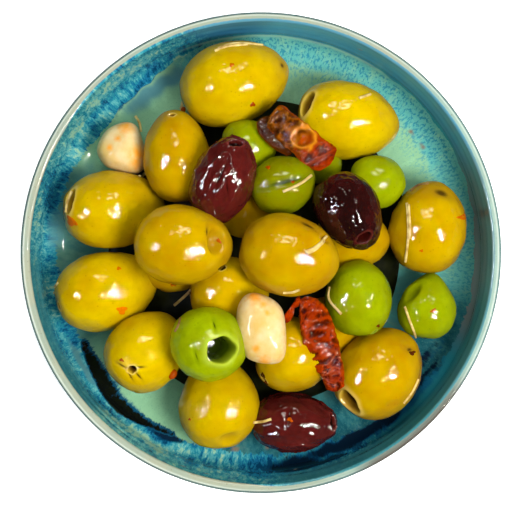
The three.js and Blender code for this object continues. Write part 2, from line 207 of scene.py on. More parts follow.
def bowl_section():
    """Half section from the middle of the underside, over the lip, to the middle of the floor."""
    outer_round = (RIM_RADIUS - LIP_OUTER_ROUND, RIM_Z - LIP_OUTER_ROUND)
    inner_round = (WALL_TOP_RADIUS + LIP_INNER_ROUND, LIP_EDGE_Z)
    wall_foot = WALL_TOP_RADIUS - WALL_DRAFT
    fillet_centre = (wall_foot - INNER_FILLET, FLOOR_Z + INNER_FILLET)
    foot_top = (FOOT_OUTER + FOOT_HEIGHT / 2, FOOT_HEIGHT)
    share = np.linspace(0, 1, 16)[:, None]
    turn_in = ((1 - share) ** 2 * np.array(foot_top)
               + 2 * share * (1 - share) * np.array((SHOULDER_RADIUS - 1, FOOT_HEIGHT + 2))
               + share ** 2 * np.array((SHOULDER_RADIUS, SHOULDER_Z)))
    recess = FOOT_INNER - FOOT_HEIGHT
    outside = [
        stretch((2, UNDERSIDE_Z), (recess, UNDERSIDE_Z), 8),
        stretch((recess, UNDERSIDE_Z), (FOOT_INNER, 0), 5)[1:],
        stretch((FOOT_INNER, 0), (FOOT_OUTER, 0), 5)[1:],
        stretch((FOOT_OUTER, 0), foot_top, 5)[1:],
        turn_in[1:],
        stretch((SHOULDER_RADIUS, SHOULDER_Z), (RIM_RADIUS, outer_round[1]), 14)[1:],
        arc(outer_round, LIP_OUTER_ROUND, 0, 75, 9)[1:]]
    inside = [
        arc(inner_round, LIP_INNER_ROUND, 75, 180, 10),
        stretch((WALL_TOP_RADIUS, inner_round[1]), (wall_foot, fillet_centre[1]), 24)[1:],
        arc(fillet_centre, INNER_FILLET, 0, -90, 26)[1:],
        stretch((fillet_centre[0], FLOOR_Z), (1.5, FLOOR_Z), 50)[1:]]
    outside, inside = np.concatenate(outside), np.concatenate(inside)
    return np.concatenate([outside, inside]), len(outside)


# The glaze is told by bearing, in degrees, and by run, the way that it ran from the lip's inner edge,
# in mm: down the wall to 14, round its foot to 28, and on across the floor.
# Where the runs ended and the smooth floor begins, by bearing and run.
FLOOR_LINE = [
    (0, 19.5), (12, 18.5), (20, 17.2), (104, 17.2), (112, 20.5), (124, 23.5), (140, 24.8), (150, 23.5),
    (163, 22.0), (185, 23.0), (205, 25.0), (216, 25.8), (230, 23.8), (246, 23.8), (262, 24.2), (276, 24.0),
    (290, 24.5), (308, 22.8), (325, 20.8), (345, 19.5), (360, 19.5)]
# Each patch is (bearing, run, half its width in degrees, half its run, slant in mm a degree, strength).
BLUE_PATCHES = [
    (70, 13, 44, 5.0, 0, 0.9), (108, 12, 9, 8.5, 0, 0.5), (118, 17, 9, 5, 0.15, 0.6),
    (123, 21.6, 20, 2.2, 0.24, 1.0), (133, 18, 8, 5.5, 0, 0.5), (163, 17, 8, 6.5, -0.15, 0.8),
    (174, 14, 9, 4.0, 0, 0.4), (184, 12, 6, 5, 0, 0.25), (203, 22, 5, 4, 0, 0.6),
    (224, 15, 10, 3, 0.6, 0.8), (222, 24.5, 22, 3.4, -0.06, 0.7), (241, 20, 5, 2.7, 0.2, 0.8),
    (251.5, 13, 1.9, 9, 0, 1.0), (256, 18, 1.5, 6, 0, 0.8), (260.5, 14, 1.5, 8, 0, 0.7),
    (265, 19, 4, 6, 0, 0.7), (271, 18, 7, 8, 0, 1.0), (292, 19, 16, 6.5, 0, 0.9),
    (314, 21, 20, 3.0, 0, 0.8), (333, 24.5, 12, 1.8, 0, 0.5)]
NAVY_PATCHES = [
    (279, 17.5, 8, 7, 0, 1.0), (287, 16.5, 9, 2.2, 0, 0.8), (296, 21.6, 18, 3.4, 0, 1.0),
    (308, 22, 7, 3.4, 0, 0.7), (322, 22.6, 12, 1.6, 0.09, 0.7), (328, 26.1, 7, 1.6, 0, 0.6),
    (243, 22.6, 8, 1.8, 0.13, 0.8)]
PALE_PATCHES = [
    (112, 20.6, 7, 1.7, 0.04, 1.2), (118, 22.4, 4, 1.3, 0, 0.6), (147, 12, 5, 9, 0, 0.9),
    (153, 21, 5.5, 6.3, 0, 0.8), (140, 12, 9, 6, 0, 0.5), (124, 9, 9, 5, 0, 0.3),
    (136, 22, 7, 3, 0, 0.4), (176, 14, 7, 4, 0, 0.45), (190, 17, 8, 5, 0, 0.3),
    (132, 8, 24, 8, 0, 0.6), (182, 7, 26, 7, 0, 0.42), (228, 9, 8, 6, 0, 0.8),
    (234, 14, 7, 6, 0.35, 1.0), (242, 13, 5, 7, 0, 0.95), (249, 20.5, 4, 4.5, 0, 0.8),
    (257, 21.5, 5, 4.5, 0, 0.6), (265, 23.5, 5, 3, 0, 0.4), (260, 8, 9, 6, 0, 0.3)]
# Milky patches: smooth pale glaze on the fillet, laid where the lamp's reflection lies there, so partly glaze
# and partly painted reflection.
MILKY_PATCHES = [
    (122, 26.6, 18, 4.0, 0.06, 0.95), (174, 22.5, 9, 5.0, 0, 0.7), (158, 27.5, 12, 4.0, 0, 0.4),
    (188, 26.5, 10, 4.0, 0, 0.3), (212, 20.4, 10, 2.6, 0, 0.8)]
# The pool that set almost black: bearing, run of its upper edge and of its lower edge.
POOL = [
    (204, 25.2, 25.4), (208, 23.6, 25.8), (213, 22.4, 26.0), (218, 20.8, 25.8), (223, 19.2, 24.6),
    (228, 18.6, 23.8), (233, 20.2, 23.6), (238, 22.0, 23.8), (243, 23.0, 24.0), (247, 23.9, 24.0)]
# Pinholes and iron spots that broke through on the wall and floor: bearing, run, half size in mm.
IRON_SPOTS = [
    (250.3, 5.0, 0.6), (256.2, 4.6, 0.5), (279, 15.6, 0.6), (64, 6.5, 0.35), (33.4, 27.0, 0.7),
    (38.7, 27.2, 0.7), (262.5, 25.4, 0.8), (272, 26.8, 0.7)]


def window(angles, start, end, fade):
    """1 between two bearings in degrees, fading to 0 over fade degrees outside them."""
    middle, half = (start + end) / 2, (end - start) / 2
    away = np.abs((angles - middle + 180) % 360 - 180)
    return 1 - smooth_step(away, half, half + fade)


def patched(bearings, run, patches):
    """The strongest of some soft oval patches of glaze at each point."""
    found = np.zeros_like(run)
    for bearing, at, half_bearing, half_run, slant, strength in patches:
        turn = (bearings - bearing + 180) % 360 - 180
        away = np.hypot(turn / half_bearing, (run - at - slant * turn) / half_run)
        found = np.maximum(found, strength * (1 - smooth_step(away, 0.2, 1.2)))
    return found


def glaze_marks(bearing, run, radius, height, inside, flow):
    """Marks from 0 to 1 that tell the glaze what ran where, at each point of the bowl, and where shade, a
    highlight and reflections are painted into its colour.
    """
    # Glaze ran unevenly, so the patches are looked up a little off their places, alike in every run.
    noise.seed_set(FLOW_SEED)
    stray = np.array([noise.noise_vector(Vector(place) / 5) for place in flow.reshape(-1, 3)])
    off_bearing = bearing + 2.4 * stray[:, 0].reshape(run.shape)
    off_run = run + 1.6 * stray[:, 1].reshape(run.shape)
    blue, navy, pale, milky = (
        patched(off_bearing, off_run, patches) * inside
        for patches in (BLUE_PATCHES, NAVY_PATCHES, PALE_PATCHES, MILKY_PATCHES))
    pool_bearings, pool_tops, pool_feet = zip(*POOL)
    pool_top = np.interp(bearing, pool_bearings, pool_tops)
    pool_foot = np.interp(bearing, pool_bearings, pool_feet)
    pool = smooth_step(run, pool_top - 1.2, pool_top + 1.0)
    pool = pool * (1 - smooth_step(run, pool_foot - 1.2, pool_foot + 3.4))
    spots = np.zeros(run.shape)
    for spot_bearing, spot_run, size in IRON_SPOTS:
        sideways = ((bearing - spot_bearing + 180) % 360 - 180) * math.pi / 180 * radius
        spots = np.maximum(spots, 1 - smooth_step(np.hypot(sideways, run - spot_run) / size, 0.5, 1.6))
    line = np.interp(bearing, *zip(*FLOOR_LINE))
    soft = 0.7 + 1.9 * window(bearing, 155, 340, 14)
    left = window(bearing, 152, 262, 14)
    over_lip = smooth_step(height, RIM_Z - 1.1, RIM_Z - 0.3)
    return {
        "floor": smooth_step(off_run, line - soft, line + soft) * inside,
        "turquoise": np.maximum(window(bearing, -20, 102, 22) * (1 - smooth_step(run, 22, 34)),
                                window(bearing, 275, 345, 20)),
        "dotted": (window(bearing, -70, 104, 14) * smooth_step(off_run, 17.5, 19.5)
                   * (1 - smooth_step(run, 22, 38))),
        "runny": window(bearing, 108, 296, 16),
        # Painted shade: the right side goes grey, the upper wall darker teal at the lower right and the lower
        # left, and the floor dark teal at the bottom and the left.
        "dusky": window(bearing, 344, 378, 14),
        "slate": window(bearing, 26, 100, 12) * (1 - smooth_step(run, 12, 16.8)),
        "gloom": (np.maximum(window(bearing, 280, 345, 10), 0.85 * window(bearing, 186, 222, 10))
                  * (1 - smooth_step(run, 9, 16))),
        "shade": (np.maximum(window(bearing, 258, 342, 12), 0.8 * window(bearing, 158, 204, 8))
                  * (1 - smooth_step(run, 34, 50))),
        "lip": np.where(inside > 0, 1 - smooth_step(run, -1.9 + 1.4 * left, -0.9 + 1.6 * left), over_lip),
        # Painted highlight: a thin pale line along the lip's crown. Painted shade: the lip's outer edge.
        # Painted reflection: a brown band over the lip at the lower right.
        "crown": np.exp(-((radius - RIM_RADIUS + 1.05) / 0.21) ** 2) * (height > RIM_Z - 2),
        "outer_edge": smooth_step(radius, RIM_RADIUS - 1.0, RIM_RADIUS - 0.6),
        "cream": window(bearing, 60, 275, 24),
        "brown_edge": window(bearing, 300, 322, 10) * smooth_step(height, RIM_Z - 1.2, RIM_Z - 0.5),
        "upper": (1 - smooth_step(run, 2, 10)) * window(bearing, -30, 100, 16) * inside,
        "shift": 1.7 * pale - blue - 1.5 * navy,
        "navy": navy,
        "blue": blue,
        "milky": milky,
        "ring": window(bearing, 62, 104, 12) * np.exp(-((run - 17.4) / 0.7) ** 2) * inside,
        "pool": pool * window(bearing, 208, 243, 5) * inside,
        "spot": spots * inside,
        "bare": (1 - inside) * (1 - smooth_step(height, FOOT_HEIGHT - 0.6, FOOT_HEIGHT + 0.4)),
        "outside": 1 - inside,
    }


def bowl_part():
    """The bowl, turned from its half section."""
    section, first_inside = bowl_section()
    bearings = np.linspace(0, 360, BOWL_SIDES, endpoint=False)
    radians = np.radians(bearings)
    shape = (len(section), BOWL_SIDES)
    bearing = np.broadcast_to(bearings, shape)
    radius = np.repeat(section[:, :1], BOWL_SIDES, axis=1)
    height = np.repeat(section[:, 1:], BOWL_SIDES, axis=1)
    inside = np.zeros(shape)
    inside[first_inside:] = 1
    along = np.concatenate([[0], np.cumsum(np.hypot(*np.diff(section, axis=0).T))])
    lip_edge = np.argmin(np.hypot(section[:, 0] - WALL_TOP_RADIUS, section[:, 1] - LIP_EDGE_Z))
    run = np.repeat((along - along[lip_edge])[:, None], BOWL_SIDES, axis=1)
    # The potter's hand: the round is a little out, and the wall and floor keep faint throwing rings.
    wander = 0.5 + 0.3 * np.sin(2 * radians + 0.6) + 0.2 * np.sin(3 * radians + 2.1)
    radius = radius * (1 - OUT_OF_ROUND * wander * smooth_step(height, FOOT_HEIGHT, RIM_Z))
    on_wall = inside * smooth_step(run, 2, 5) * (1 - smooth_step(run, 11, 15))
    radius = radius + THROWING_RING * on_wall * np.sin(run * 2 * math.pi / 6 + 2 * radians)
    on_floor = inside * smooth_step(run, 28, 32)
    height = height + THROWING_RING * on_floor * np.sin(radius * 2 * math.pi / 7 + radians)
    rings = np.stack([radius * np.cos(radians), radius * np.sin(radians), height], axis=-1)
    points, faces = wrapped((0, 0, UNDERSIDE_Z), rings, (0, 0, FLOOR_Z))

    flow = np.stack([FLOW_RADIUS * np.cos(radians) + 0 * run, FLOW_RADIUS * np.sin(radians) + 0 * run,
                     run], axis=-1)
    marks = glaze_marks(bearing, run, radius, height, inside, flow)
    at_start = {"bare": 1.0, "outside": 1.0}
    at_end = {"floor": 1.0}
    for name, values in marks.items():
        marks[name] = np.concatenate([[at_start.get(name, 0)], values.ravel(), [at_end.get(name, 0)]])
    marks["flow"] = np.concatenate([flow[0, :1], flow.reshape(-1, 3), flow[-1, :1]])
    return points, faces, marks


def glaze_material():
    """Reactive stoneware glaze, fired glossy: a glassy coat, crystals and runs drifting in it."""
    material, tree = new_material("reactive_stoneware_glaze")
    mark = {name: add_node(tree, MARK, (), "Fac", attribute_name=name) for name in (
        "floor", "turquoise", "dotted", "runny", "dusky", "slate", "gloom", "shade", "lip", "crown",
        "outer_edge", "cream", "brown_edge", "upper", "shift", "navy", "blue", "milky", "ring", "pool",
        "spot", "bare", "outside")}
    flow = add_node(tree, MARK, (), "Vector", attribute_name="flow")
    mm = in_mm(tree)

    # Grain in mm round the bowl and down the run, detail, roughness and distortion of each noise.
    noises = []
    for across, down, detail, roughness, distortion in (
            (9, 9, 3, 0.6, 0), (3.6, 7.0, 3, 0.6, 0.3), (1.5, 4.6, 4, 0.72, 0.5),
            (0.6, 1.0, 3, 0.7, 0), (0.75, 1.3, 3, 0.6, 0)):
        place = add_node(tree, SCALE, (flow, (1 / across, 1 / across, 1 / down)), **TIMES)
        noises.append(add_node(tree, NOISE, {"Vector": place, "Scale": 1.0, "Detail": detail,
                                             "Roughness": roughness, "Distortion": distortion}))
    drift, broad_run, streak, crystal, dots = noises
    grain = add_node(tree, NOISE, {"Vector": mm, "Scale": 1 / 0.45, "Detail": 2.0})

    # Marks whose edges the streaks feather out.
    feathered = {}
    for name, sway in (("floor", 1.9), ("pool", 1.2), ("navy", 1.4), ("blue", 1.2), ("lip", 0.5),
                       ("milky", 0.3)):
        feathered[name] = stirred(tree, mark[name], streak, sway)

    # Runs: one tone decides between deep blue, blue, teal, turquoise and pale sage.
    wave = 0.0
    for grains, sway in ((broad_run, 0.9), (streak, 1.9), (crystal, 0.7)):
        wave = stirred(tree, wave, grains, sway)
    swing = add_node(tree, MATH, (mark["runny"], 0.75, 0.12), **TIMES_PLUS)
    tone = add_node(tree, MATH, (wave, swing, 0.46), **TIMES_PLUS)
    tone = add_node(tree, MATH, (mark["shift"], 0.22, tone), **TIMES_PLUS)
    wall = painted(
        tree, linear("#0A4266"),
        (add_node(tree, RANGE, (tone, 0.10, 0.28), **SMOOTH), "#186C98"),
        (add_node(tree, RANGE, (tone, 0.28, 0.46), **SMOOTH), "#2A8FA4"),
        (add_node(tree, RANGE, (tone, 0.48, 0.62), **SMOOTH), "#58AEB8"),
        (add_node(tree, RANGE, (tone, 0.66, 0.86), **SMOOTH), "#A0CEB0"),
        # Painted shade: grey on the right wall, darker teal on the upper wall at the lower right and the
        # lower left.
        (mark["slate"], "#3E88BC", 0.9), (mark["dusky"], "#76736F", 0.85),
        (mark["gloom"], "#3A7F8A", 0.9))

    # Floor: sage green going to turquoise by the wall, and there flecked with blue.
    hue = stirred(tree, mark["turquoise"], drift, 1.0)
    fleck = add_node(tree, RANGE, (dots, 0.49, 0.59, 0, 0.95), **SMOOTH)
    fleck = add_node(tree, MATH, (mark["dotted"], fleck), **TIMES)
    # Painted shade on the floor: greyer at the right, dark teal at the bottom and the left.
    shade = add_node(tree, RANGE, (broad_run, 0.35, 0.6, 0.7, 1.0))
    shade = add_node(tree, MATH, (mark["shade"], shade), **TIMES)
    floor = painted(
        tree, linear("#86B892"), (add_node(tree, RANGE, (hue, 0.3, 0.75), **SMOOTH), "#60B4B0"),
        (add_node(tree, RANGE, (broad_run, 0.5, 0.66, 0, 0.45), **SMOOTH), "#92C8A0"),
        (fleck, "#2C86A2"), (mark["dusky"], "#4E8E84", 0.45), (shade, "#1A5866"),
        (add_node(tree, RANGE, (grain, 0.56, 0.70, 0, 0.4), **SMOOTH), "#4B8E80"),
        (add_node(tree, RANGE, (feathered["blue"], 0.3, 0.8), **SMOOTH), "#12587A"))

    base = painted(
        tree, wall,
        (add_node(tree, RANGE, (feathered["floor"], 0.42, 0.6), **SMOOTH), floor),
        # Painted reflection, partly milky glaze: the lamp's soft reflection on the fillet.
        (add_node(tree, RANGE, (feathered["milky"], 0.1, 0.9), **SMOOTH), "#528890"),
        (add_node(tree, RANGE, (feathered["navy"], 0.22, 0.7), **SMOOTH), "#0A2238"),
        (add_node(tree, RANGE, (feathered["pool"], 0.42, 0.6), **SMOOTH), "#0E4A68"),
        (add_node(tree, RANGE, (feathered["pool"], 0.66, 0.9), **SMOOTH), "#0B0F0C"),
        (mark["ring"], "#9CC9B8", 0.8), (mark["upper"], "#5E98A4", 0.6), (mark["spot"], "#84705A"))
    outside = painted(tree, linear("#1D6C7C"), (add_node(tree, RANGE, (tone, 0.3, 0.6), **SMOOTH), "#2F8A8C"),
                      (add_node(tree, RANGE, (broad_run, 0.52, 0.7), **SMOOTH), "#0E4C70"))

    # Lip: the glaze ran thin over the clay, so it broke to sage and cream, with iron specks. Also painted on
    # it: its outer edge darker, as painted shade, a thin pale line along its crown, as a painted highlight,
    # and a brown band at the lower right, as a painted reflection.
    lip = painted(
        tree, linear("#9AB8AE"), (mark["cream"], "#A4A28A", 0.7),
        (add_node(tree, RANGE, (drift, 0.4, 0.65, 0, 0.4), **SMOOTH), "#86A39C"),
        (add_node(tree, RANGE, (crystal, 0.62, 0.72, 0, 0.55), **SMOOTH), "#74624A"),
        (mark["outer_edge"], "#4E6A6C", 0.85),
        (add_node(tree, RANGE, (mark["crown"], 0.3, 0.9, 0, 0.75), **SMOOTH), "#CCDAD2"),
        (mark["brown_edge"], "#54443C", 0.8))
    base = painted(tree, base, (mark["outside"], outside),
                   (add_node(tree, RANGE, (feathered["lip"], 0.25, 0.75), **SMOOTH), lip),
                   (mark["bare"], "#B8A183"))

    ripple = add_node(tree, NOISE, {"Vector": mm, "Scale": 1 / 9, "Detail": 2.0})
    swell = add_node(tree, BUMP, {"Strength": 0.5, "Distance": 0.0004, "Height": ripple})
    grit = add_node(tree, BUMP, {"Strength": 0.25, "Distance": 0.00008, "Height": crystal, "Normal": swell})
    dry = add_node(tree, RANGE, (mark["bare"], 0, 1, 0.07, 0.75))
    return finished(material, tree, {"Base Color": base, "Roughness": dry, "IOR": 1.5, "Normal": grit})


make_piece("glazed_bowl", [bowl_part()], glaze_material(), "stoneware_glaze", "bowl")

# ---- Queen olives ----
# Large brined green olives, ripened to yellow. Most were pitted through a cut at one end, so they
# show holes with pale torn rims; their skins are smooth, finely pored and wet with oil.

CELLS = "ShaderNodeTexVoronoi"

# Each kind of olive: how much narrower it is towards the tip, how far the tip stands out, how
# uneven the fruit is and how deep its skin wrinkles, in millimetres, and how finely it is drawn.
QUEEN = {"narrowing": 0.05, "tip": 0.03, "uneven": 0.45, "wrinkle": 0.0, "sides": 72, "rings": 44}
ROUND = {"narrowing": 0.03, "tip": 0.01, "uneven": 0.3, "wrinkle": 0.0, "sides": 80, "rings": 48}
ALMOND = {"narrowing": 0.08, "tip": 0.04, "uneven": 0.35, "wrinkle": 0.45, "sides": 160, "rings": 110}
FLESH_LUMPS = 0.3
RIM_HEIGHT = 0.10  # of the torn skin round a pit
NAVEL_DEPTH = 0.5

# Olives: middle, bearing of the tip and its tilt in degrees, length, girth, and tone from -1,
# pale and green, to 1, ripe and brown. A pit or dent is (dx, dy from the middle in plan, length,
# width, bearing, depth); a pit has a sharp edge and a dent a soft one.
QUEENS = [
    dict(at=(-9, 54, 23.6), bearing=18, size=(35.4, 27), tone=-0.35, tip=0.05,
         dents=[(15.5, 5.5, 3, 3, 0, 0.3)]),
    dict(at=(27.2, 42.7, 22.6), bearing=-9, size=(32.4, 25.1), tone=-0.75, tip=0.07,
         pit=(-12.8, 4.8, 9, 5, 65, 3.5)),
    dict(at=(-47.6, 13.7, 22.5), bearing=6, tilt=-15, size=(33.3, 24.5), tone=-0.2,
         pit=(-13.4, 2.4, 8.4, 4.6, 80, 5)),
    dict(at=(-49.9, -12, 22.8), bearing=17, tilt=-15, size=(34, 25.1), tone=-0.4,
         pit=(-14.6, -5.2, 3.0, 2.0, 70, 1.2)),
    dict(at=(-13.8, -48.7, 22.7), bearing=90, size=(29.6, 25.4), tone=-0.3,
         dents=[(3.6, -10.4, 8, 6, 15, 1.8)]),
    dict(at=(37.3, -38.7, 23.1), bearing=50, size=(31.5, 26.4), tone=0.5,
         pit=(-9.6, -9.2, 9.5, 7.0, -52, 4.0), dents=[(10, 8, 5, 2.5, 20, 0.4)]),
    dict(at=(53.6, 7.8, 22.9), bearing=80, size=(29.9, 24.8), tone=0.3,
         dents=[(3.8, 11.4, 8, 5, -8, 0.5)]),
    dict(at=(-37, -31.4, 28), bearing=50, size=(27.4, 24.3), tone=-0.6,
         pit=(-3.4, -5.2, 3.4, 2.6, 20, 4),
         dents=[(-6.8, -4.0, 6, 1.0, -15, 0.49), (-4.0, -7.6, 4, 1.0, -70, 0.49),
                (-1.4, -7.4, 5, 1.0, -60, 0.49), (-0.6, -4.4, 4, 1.0, 0, 0.49)]),
    dict(at=(20.8, -23.4, 20), bearing=0, size=(22, 19), tone=0.4),
    dict(at=(-27.7, -3, 22), bearing=0, size=(22, 19.3), tone=0.3),
    dict(at=(-4.2, 11.2, 23), bearing=0, size=(22, 19), tone=0.8),
    dict(at=(28.6, 4.1, 23), bearing=0, size=(25, 20), tone=0.3),
    dict(at=(-26.5, 30.2, 28), bearing=97, size=(30, 21.8), tone=0.35,
         pit=(-1.6, 13.2, 2.6, 1.8, 10, 1.2)),
    dict(at=(10.2, -32.3, 29), bearing=0, size=(25.5, 24.2), tone=0.2,
         pit=(-9.4, -7.2, 3.6, 2.2, -60, 1.6)),
    dict(at=(-10.5, -12.5, 30), bearing=0, size=(25.4, 22.9), tone=0.2,
         pit=(-1.6, 7.4, 2.6, 1.8, 35, 1.5), dents=[(8.5, -2.5, 9, 5, 60, 1.4)]),
    dict(at=(-24.5, 2.4, 42.5), bearing=-2, size=(30.8, 24.9), tone=0.3,
         dents=[(11.2, 1.4, 10, 7, 78, 4.6), (8.2, 4.6, 8, 1.0, 70, 0.45)]),
    dict(at=(8.4, -0.7, 44), bearing=-12, size=(31.4, 24.9), tone=0.5,
         dents=[(11.4, 5.4, 5, 3.4, 40, 1.6), (6, 9.5, 9, 3, -35, 0.5)]),
]


def turn_of(bearing, tilt):
    """Rows: an olive's own axes, tip first, in the bowl's frame."""
    b, t = math.radians(bearing), math.radians(tilt)
    tip = np.array([math.cos(b) * math.cos(t), math.sin(b) * math.cos(t), math.sin(t)])
    side = np.array([-math.sin(b), math.cos(b), 0])
    return np.array([tip, side, np.cross(tip, side)])


def square_to(direction, bearing):
    """Two directions square to a given one, the first nearest to a bearing in plan."""
    flat = np.array([math.cos(math.radians(bearing)), math.sin(math.radians(bearing)), 0])
    first = flat - direction * np.dot(flat, direction)
    first /= np.linalg.norm(first)
    return first, np.cross(direction, first)


def rings_round(pole, reach, near_rings, kind):
    """Unit directions in rings from a pole to the far one, the first rings close round the pole."""
    near = np.linspace(0.02, reach, near_rings)
    far = reach + (math.pi - 0.03 - reach) * np.linspace(0, 1, kind["rings"])[1:] ** 1.12
    polar = np.concatenate([near, far])
    helper = np.array([0, 0, 1.0]) if abs(pole[2]) < 0.9 else np.array([0, 1.0, 0])
    first = np.cross(helper, pole)
    first /= np.linalg.norm(first)
    second = np.cross(pole, first)
    around = np.linspace(0, 2 * math.pi, kind["sides"], endpoint=False)
    ring = np.cos(around)[:, None] * first + np.sin(around)[:, None] * second
    directions = np.cos(polar)[:, None, None] * pole + np.sin(polar)[:, None, None] * ring
    return np.concatenate([[pole], directions.reshape(-1, 3), [-pole]])


def wrinkles(away, turn, depth, seed):
    """How far the skin stands out where it is drawn into branching ridges that run with the fruit."""
    drawn = (away @ turn.T) * (0.11, 0.27, 0.27) + 7 * seed
    patches = np.array([noise.noise(Vector(place) * 0.6 + Vector((9, 4, 2))) for place in drawn])
    fold, fine = (np.array([max(0.0, 1 - 3 * abs(noise.noise(Vector(place) * finer))) for place in drawn])
                  for finer in (1, 2.2))
    depth = depth * (0.35 + 0.65 * smooth_step(patches, -0.25, 0.15))
    return depth * (fold ** 1.6 + 0.25 * fine ** 1.6 - 0.4)


def hollow_at(offset, outward, hollow, ragged_seed):
    """How far points lie in a pit or dent, and on a pit's rim, from 0 to 1, by their way from its
    mouth. A pit has a seed for its ragged edge; a dent has None and a softer edge."""
    _, _, long, wide, bearing, depth = hollow
    ahead, across = square_to(outward, bearing)
    u, v = offset @ ahead, offset @ across
    spread = np.hypot(u / (long / 2), v / (wide / 2))
    if ragged_seed is None:
        sunk = 1 - smooth_step(spread, 0.2, 1.05) if depth >= 1 else np.exp(-(spread ** 2) * 1.4)
        return sunk, np.zeros_like(sunk)
    theta = np.arctan2(v, u)
    ragged = 1 + 0.07 * np.sin(2 * theta + ragged_seed) + 0.03 * np.sin(5 * theta + 2 * ragged_seed)
    spread = spread / ragged
    return 1 - smooth_step(spread, 0.66, 1.0), np.exp(-((spread - 1.1) / 0.2) ** 2)


def olive_part(kind, olive, seed):
    """One olive as a closed skin whose pole lies in its pit, so that its rings run round the hole."""
    rng = np.random.default_rng(seed)
    turn = turn_of(olive["bearing"], olive.get("tilt", 0))
    middle = np.array(olive["at"], float)
    length, girth = olive["size"]
    half = np.array([length, girth, girth]) / 2
    tip = olive.get("tip", kind["tip"])
    narrowing = olive.get("narrowing", kind["narrowing"])

    def toward(dx, dy):
        """Unit direction, in the olive's own axes, of the upper skin over a point in plan."""
        a = turn @ np.array([dx, dy, 0]) / half
        up = turn @ np.array([0, 0, 1.0]) / half
        b, c = np.dot(a, up) / np.dot(up, up), (np.dot(a, a) - 1) / np.dot(up, up)
        found = a + up * (-b + math.sqrt(max(b * b - c, 0)))
        return found / np.linalg.norm(found)

    lobes = [(rng.normal(size=3), rng.uniform(0, 6.28), rng.uniform(0.4, 1)) for _ in range(5)]

    def skin(directions):
        """Unit directions in the olive's own axes to points in the bowl's frame, in mm."""
        along = directions[..., 0]
        swell = np.zeros_like(along)
        for lobe, phase, weight in lobes:
            swell = swell + weight * np.sin(1.5 * directions @ lobe + phase)
        swell = 1 + swell * kind["uneven"] / girth
        own = np.stack([
            along * (1 + tip * np.maximum(along, 0) ** 6) * half[0],
            directions[..., 1] * half[1] * (1 - narrowing * along) * swell,
            directions[..., 2] * half[2] * (1 - narrowing * along) * swell], axis=-1)
        return own @ turn + middle

    pit = olive.get("pit")
    if pit:
        every = rings_round(toward(pit[0], pit[1]), 1.35 * pit[2] / girth, 24, kind)
    else:
        every = rings_round(np.array([1.0, 0, 0]), 0.2, 6, kind)
    points = skin(every)
    away = points - middle
    out = away / np.linalg.norm(away, axis=1, keepdims=True)
    raised = FLESH_LUMPS * np.array([noise.noise(Vector(place) / 4.5) for place in away + 50 * seed])
    wrinkle = olive.get("wrinkle", kind["wrinkle"])
    if wrinkle:
        raised = raised + wrinkles(away, turn, wrinkle, seed)
    base = points + out * raised[:, None]

    # The pit's hole and the dents, each sunk into the skin square to it.
    points = base
    marks = {name: np.zeros(len(points)) for name in ("pit", "rim", "scar")}
    hollows = [(pit, seed)] if pit else []
    hollows += [(dent, None) for dent in olive.get("dents", [])]
    for hollow, ragged_seed in hollows:
        direction = toward(hollow[0], hollow[1])
        outward = (direction / half) @ turn
        outward /= np.linalg.norm(outward)
        facing = smooth_step(every @ direction, 0.2, 0.5)
        sunk, rim = hollow_at(base - skin(direction[None])[0], outward, hollow, ragged_seed)
        sunk, rim, depth = sunk * facing, rim * facing, hollow[5]
        points = points - outward * (depth * sunk - RIM_HEIGHT * rim)[:, None]
        if ragged_seed is not None:
            marks["pit"] = np.maximum(marks["pit"], sunk)
            marks["rim"] = np.maximum(marks["rim"], rim)
        elif depth > 0:
            # Dents are marked like scars: shallow ones as real scars, deep ones at half strength, which
            # paints shade into their hollows.
            marks["scar"] = np.maximum(marks["scar"], (0.5 if depth >= 1 else 1) * sunk)

    # The little navel at the stem end.
    stem = np.exp(-((1 + every[:, 0]) * half[0] / 1.1) ** 2)
    points = points + (turn[0] * NAVEL_DEPTH) * stem[:, None]
    marks["scar"] = np.maximum(marks["scar"], 0.8 * stem)
    marks["tone"] = np.full(len(points), olive["tone"])
    # Painted shade: the flanks, turned away from above, are marked to be painted darker.
    marks["flank"] = 1 - smooth_step(out[:, 2], -0.1, 0.8)
    marks["own"] = (base - middle) @ turn.T + rng.uniform(-400, 400, 3)
    joined, faces = wrapped(points[0], points[1:-1].reshape(-1, kind["sides"], 3), points[-1])
    return joined, faces, marks


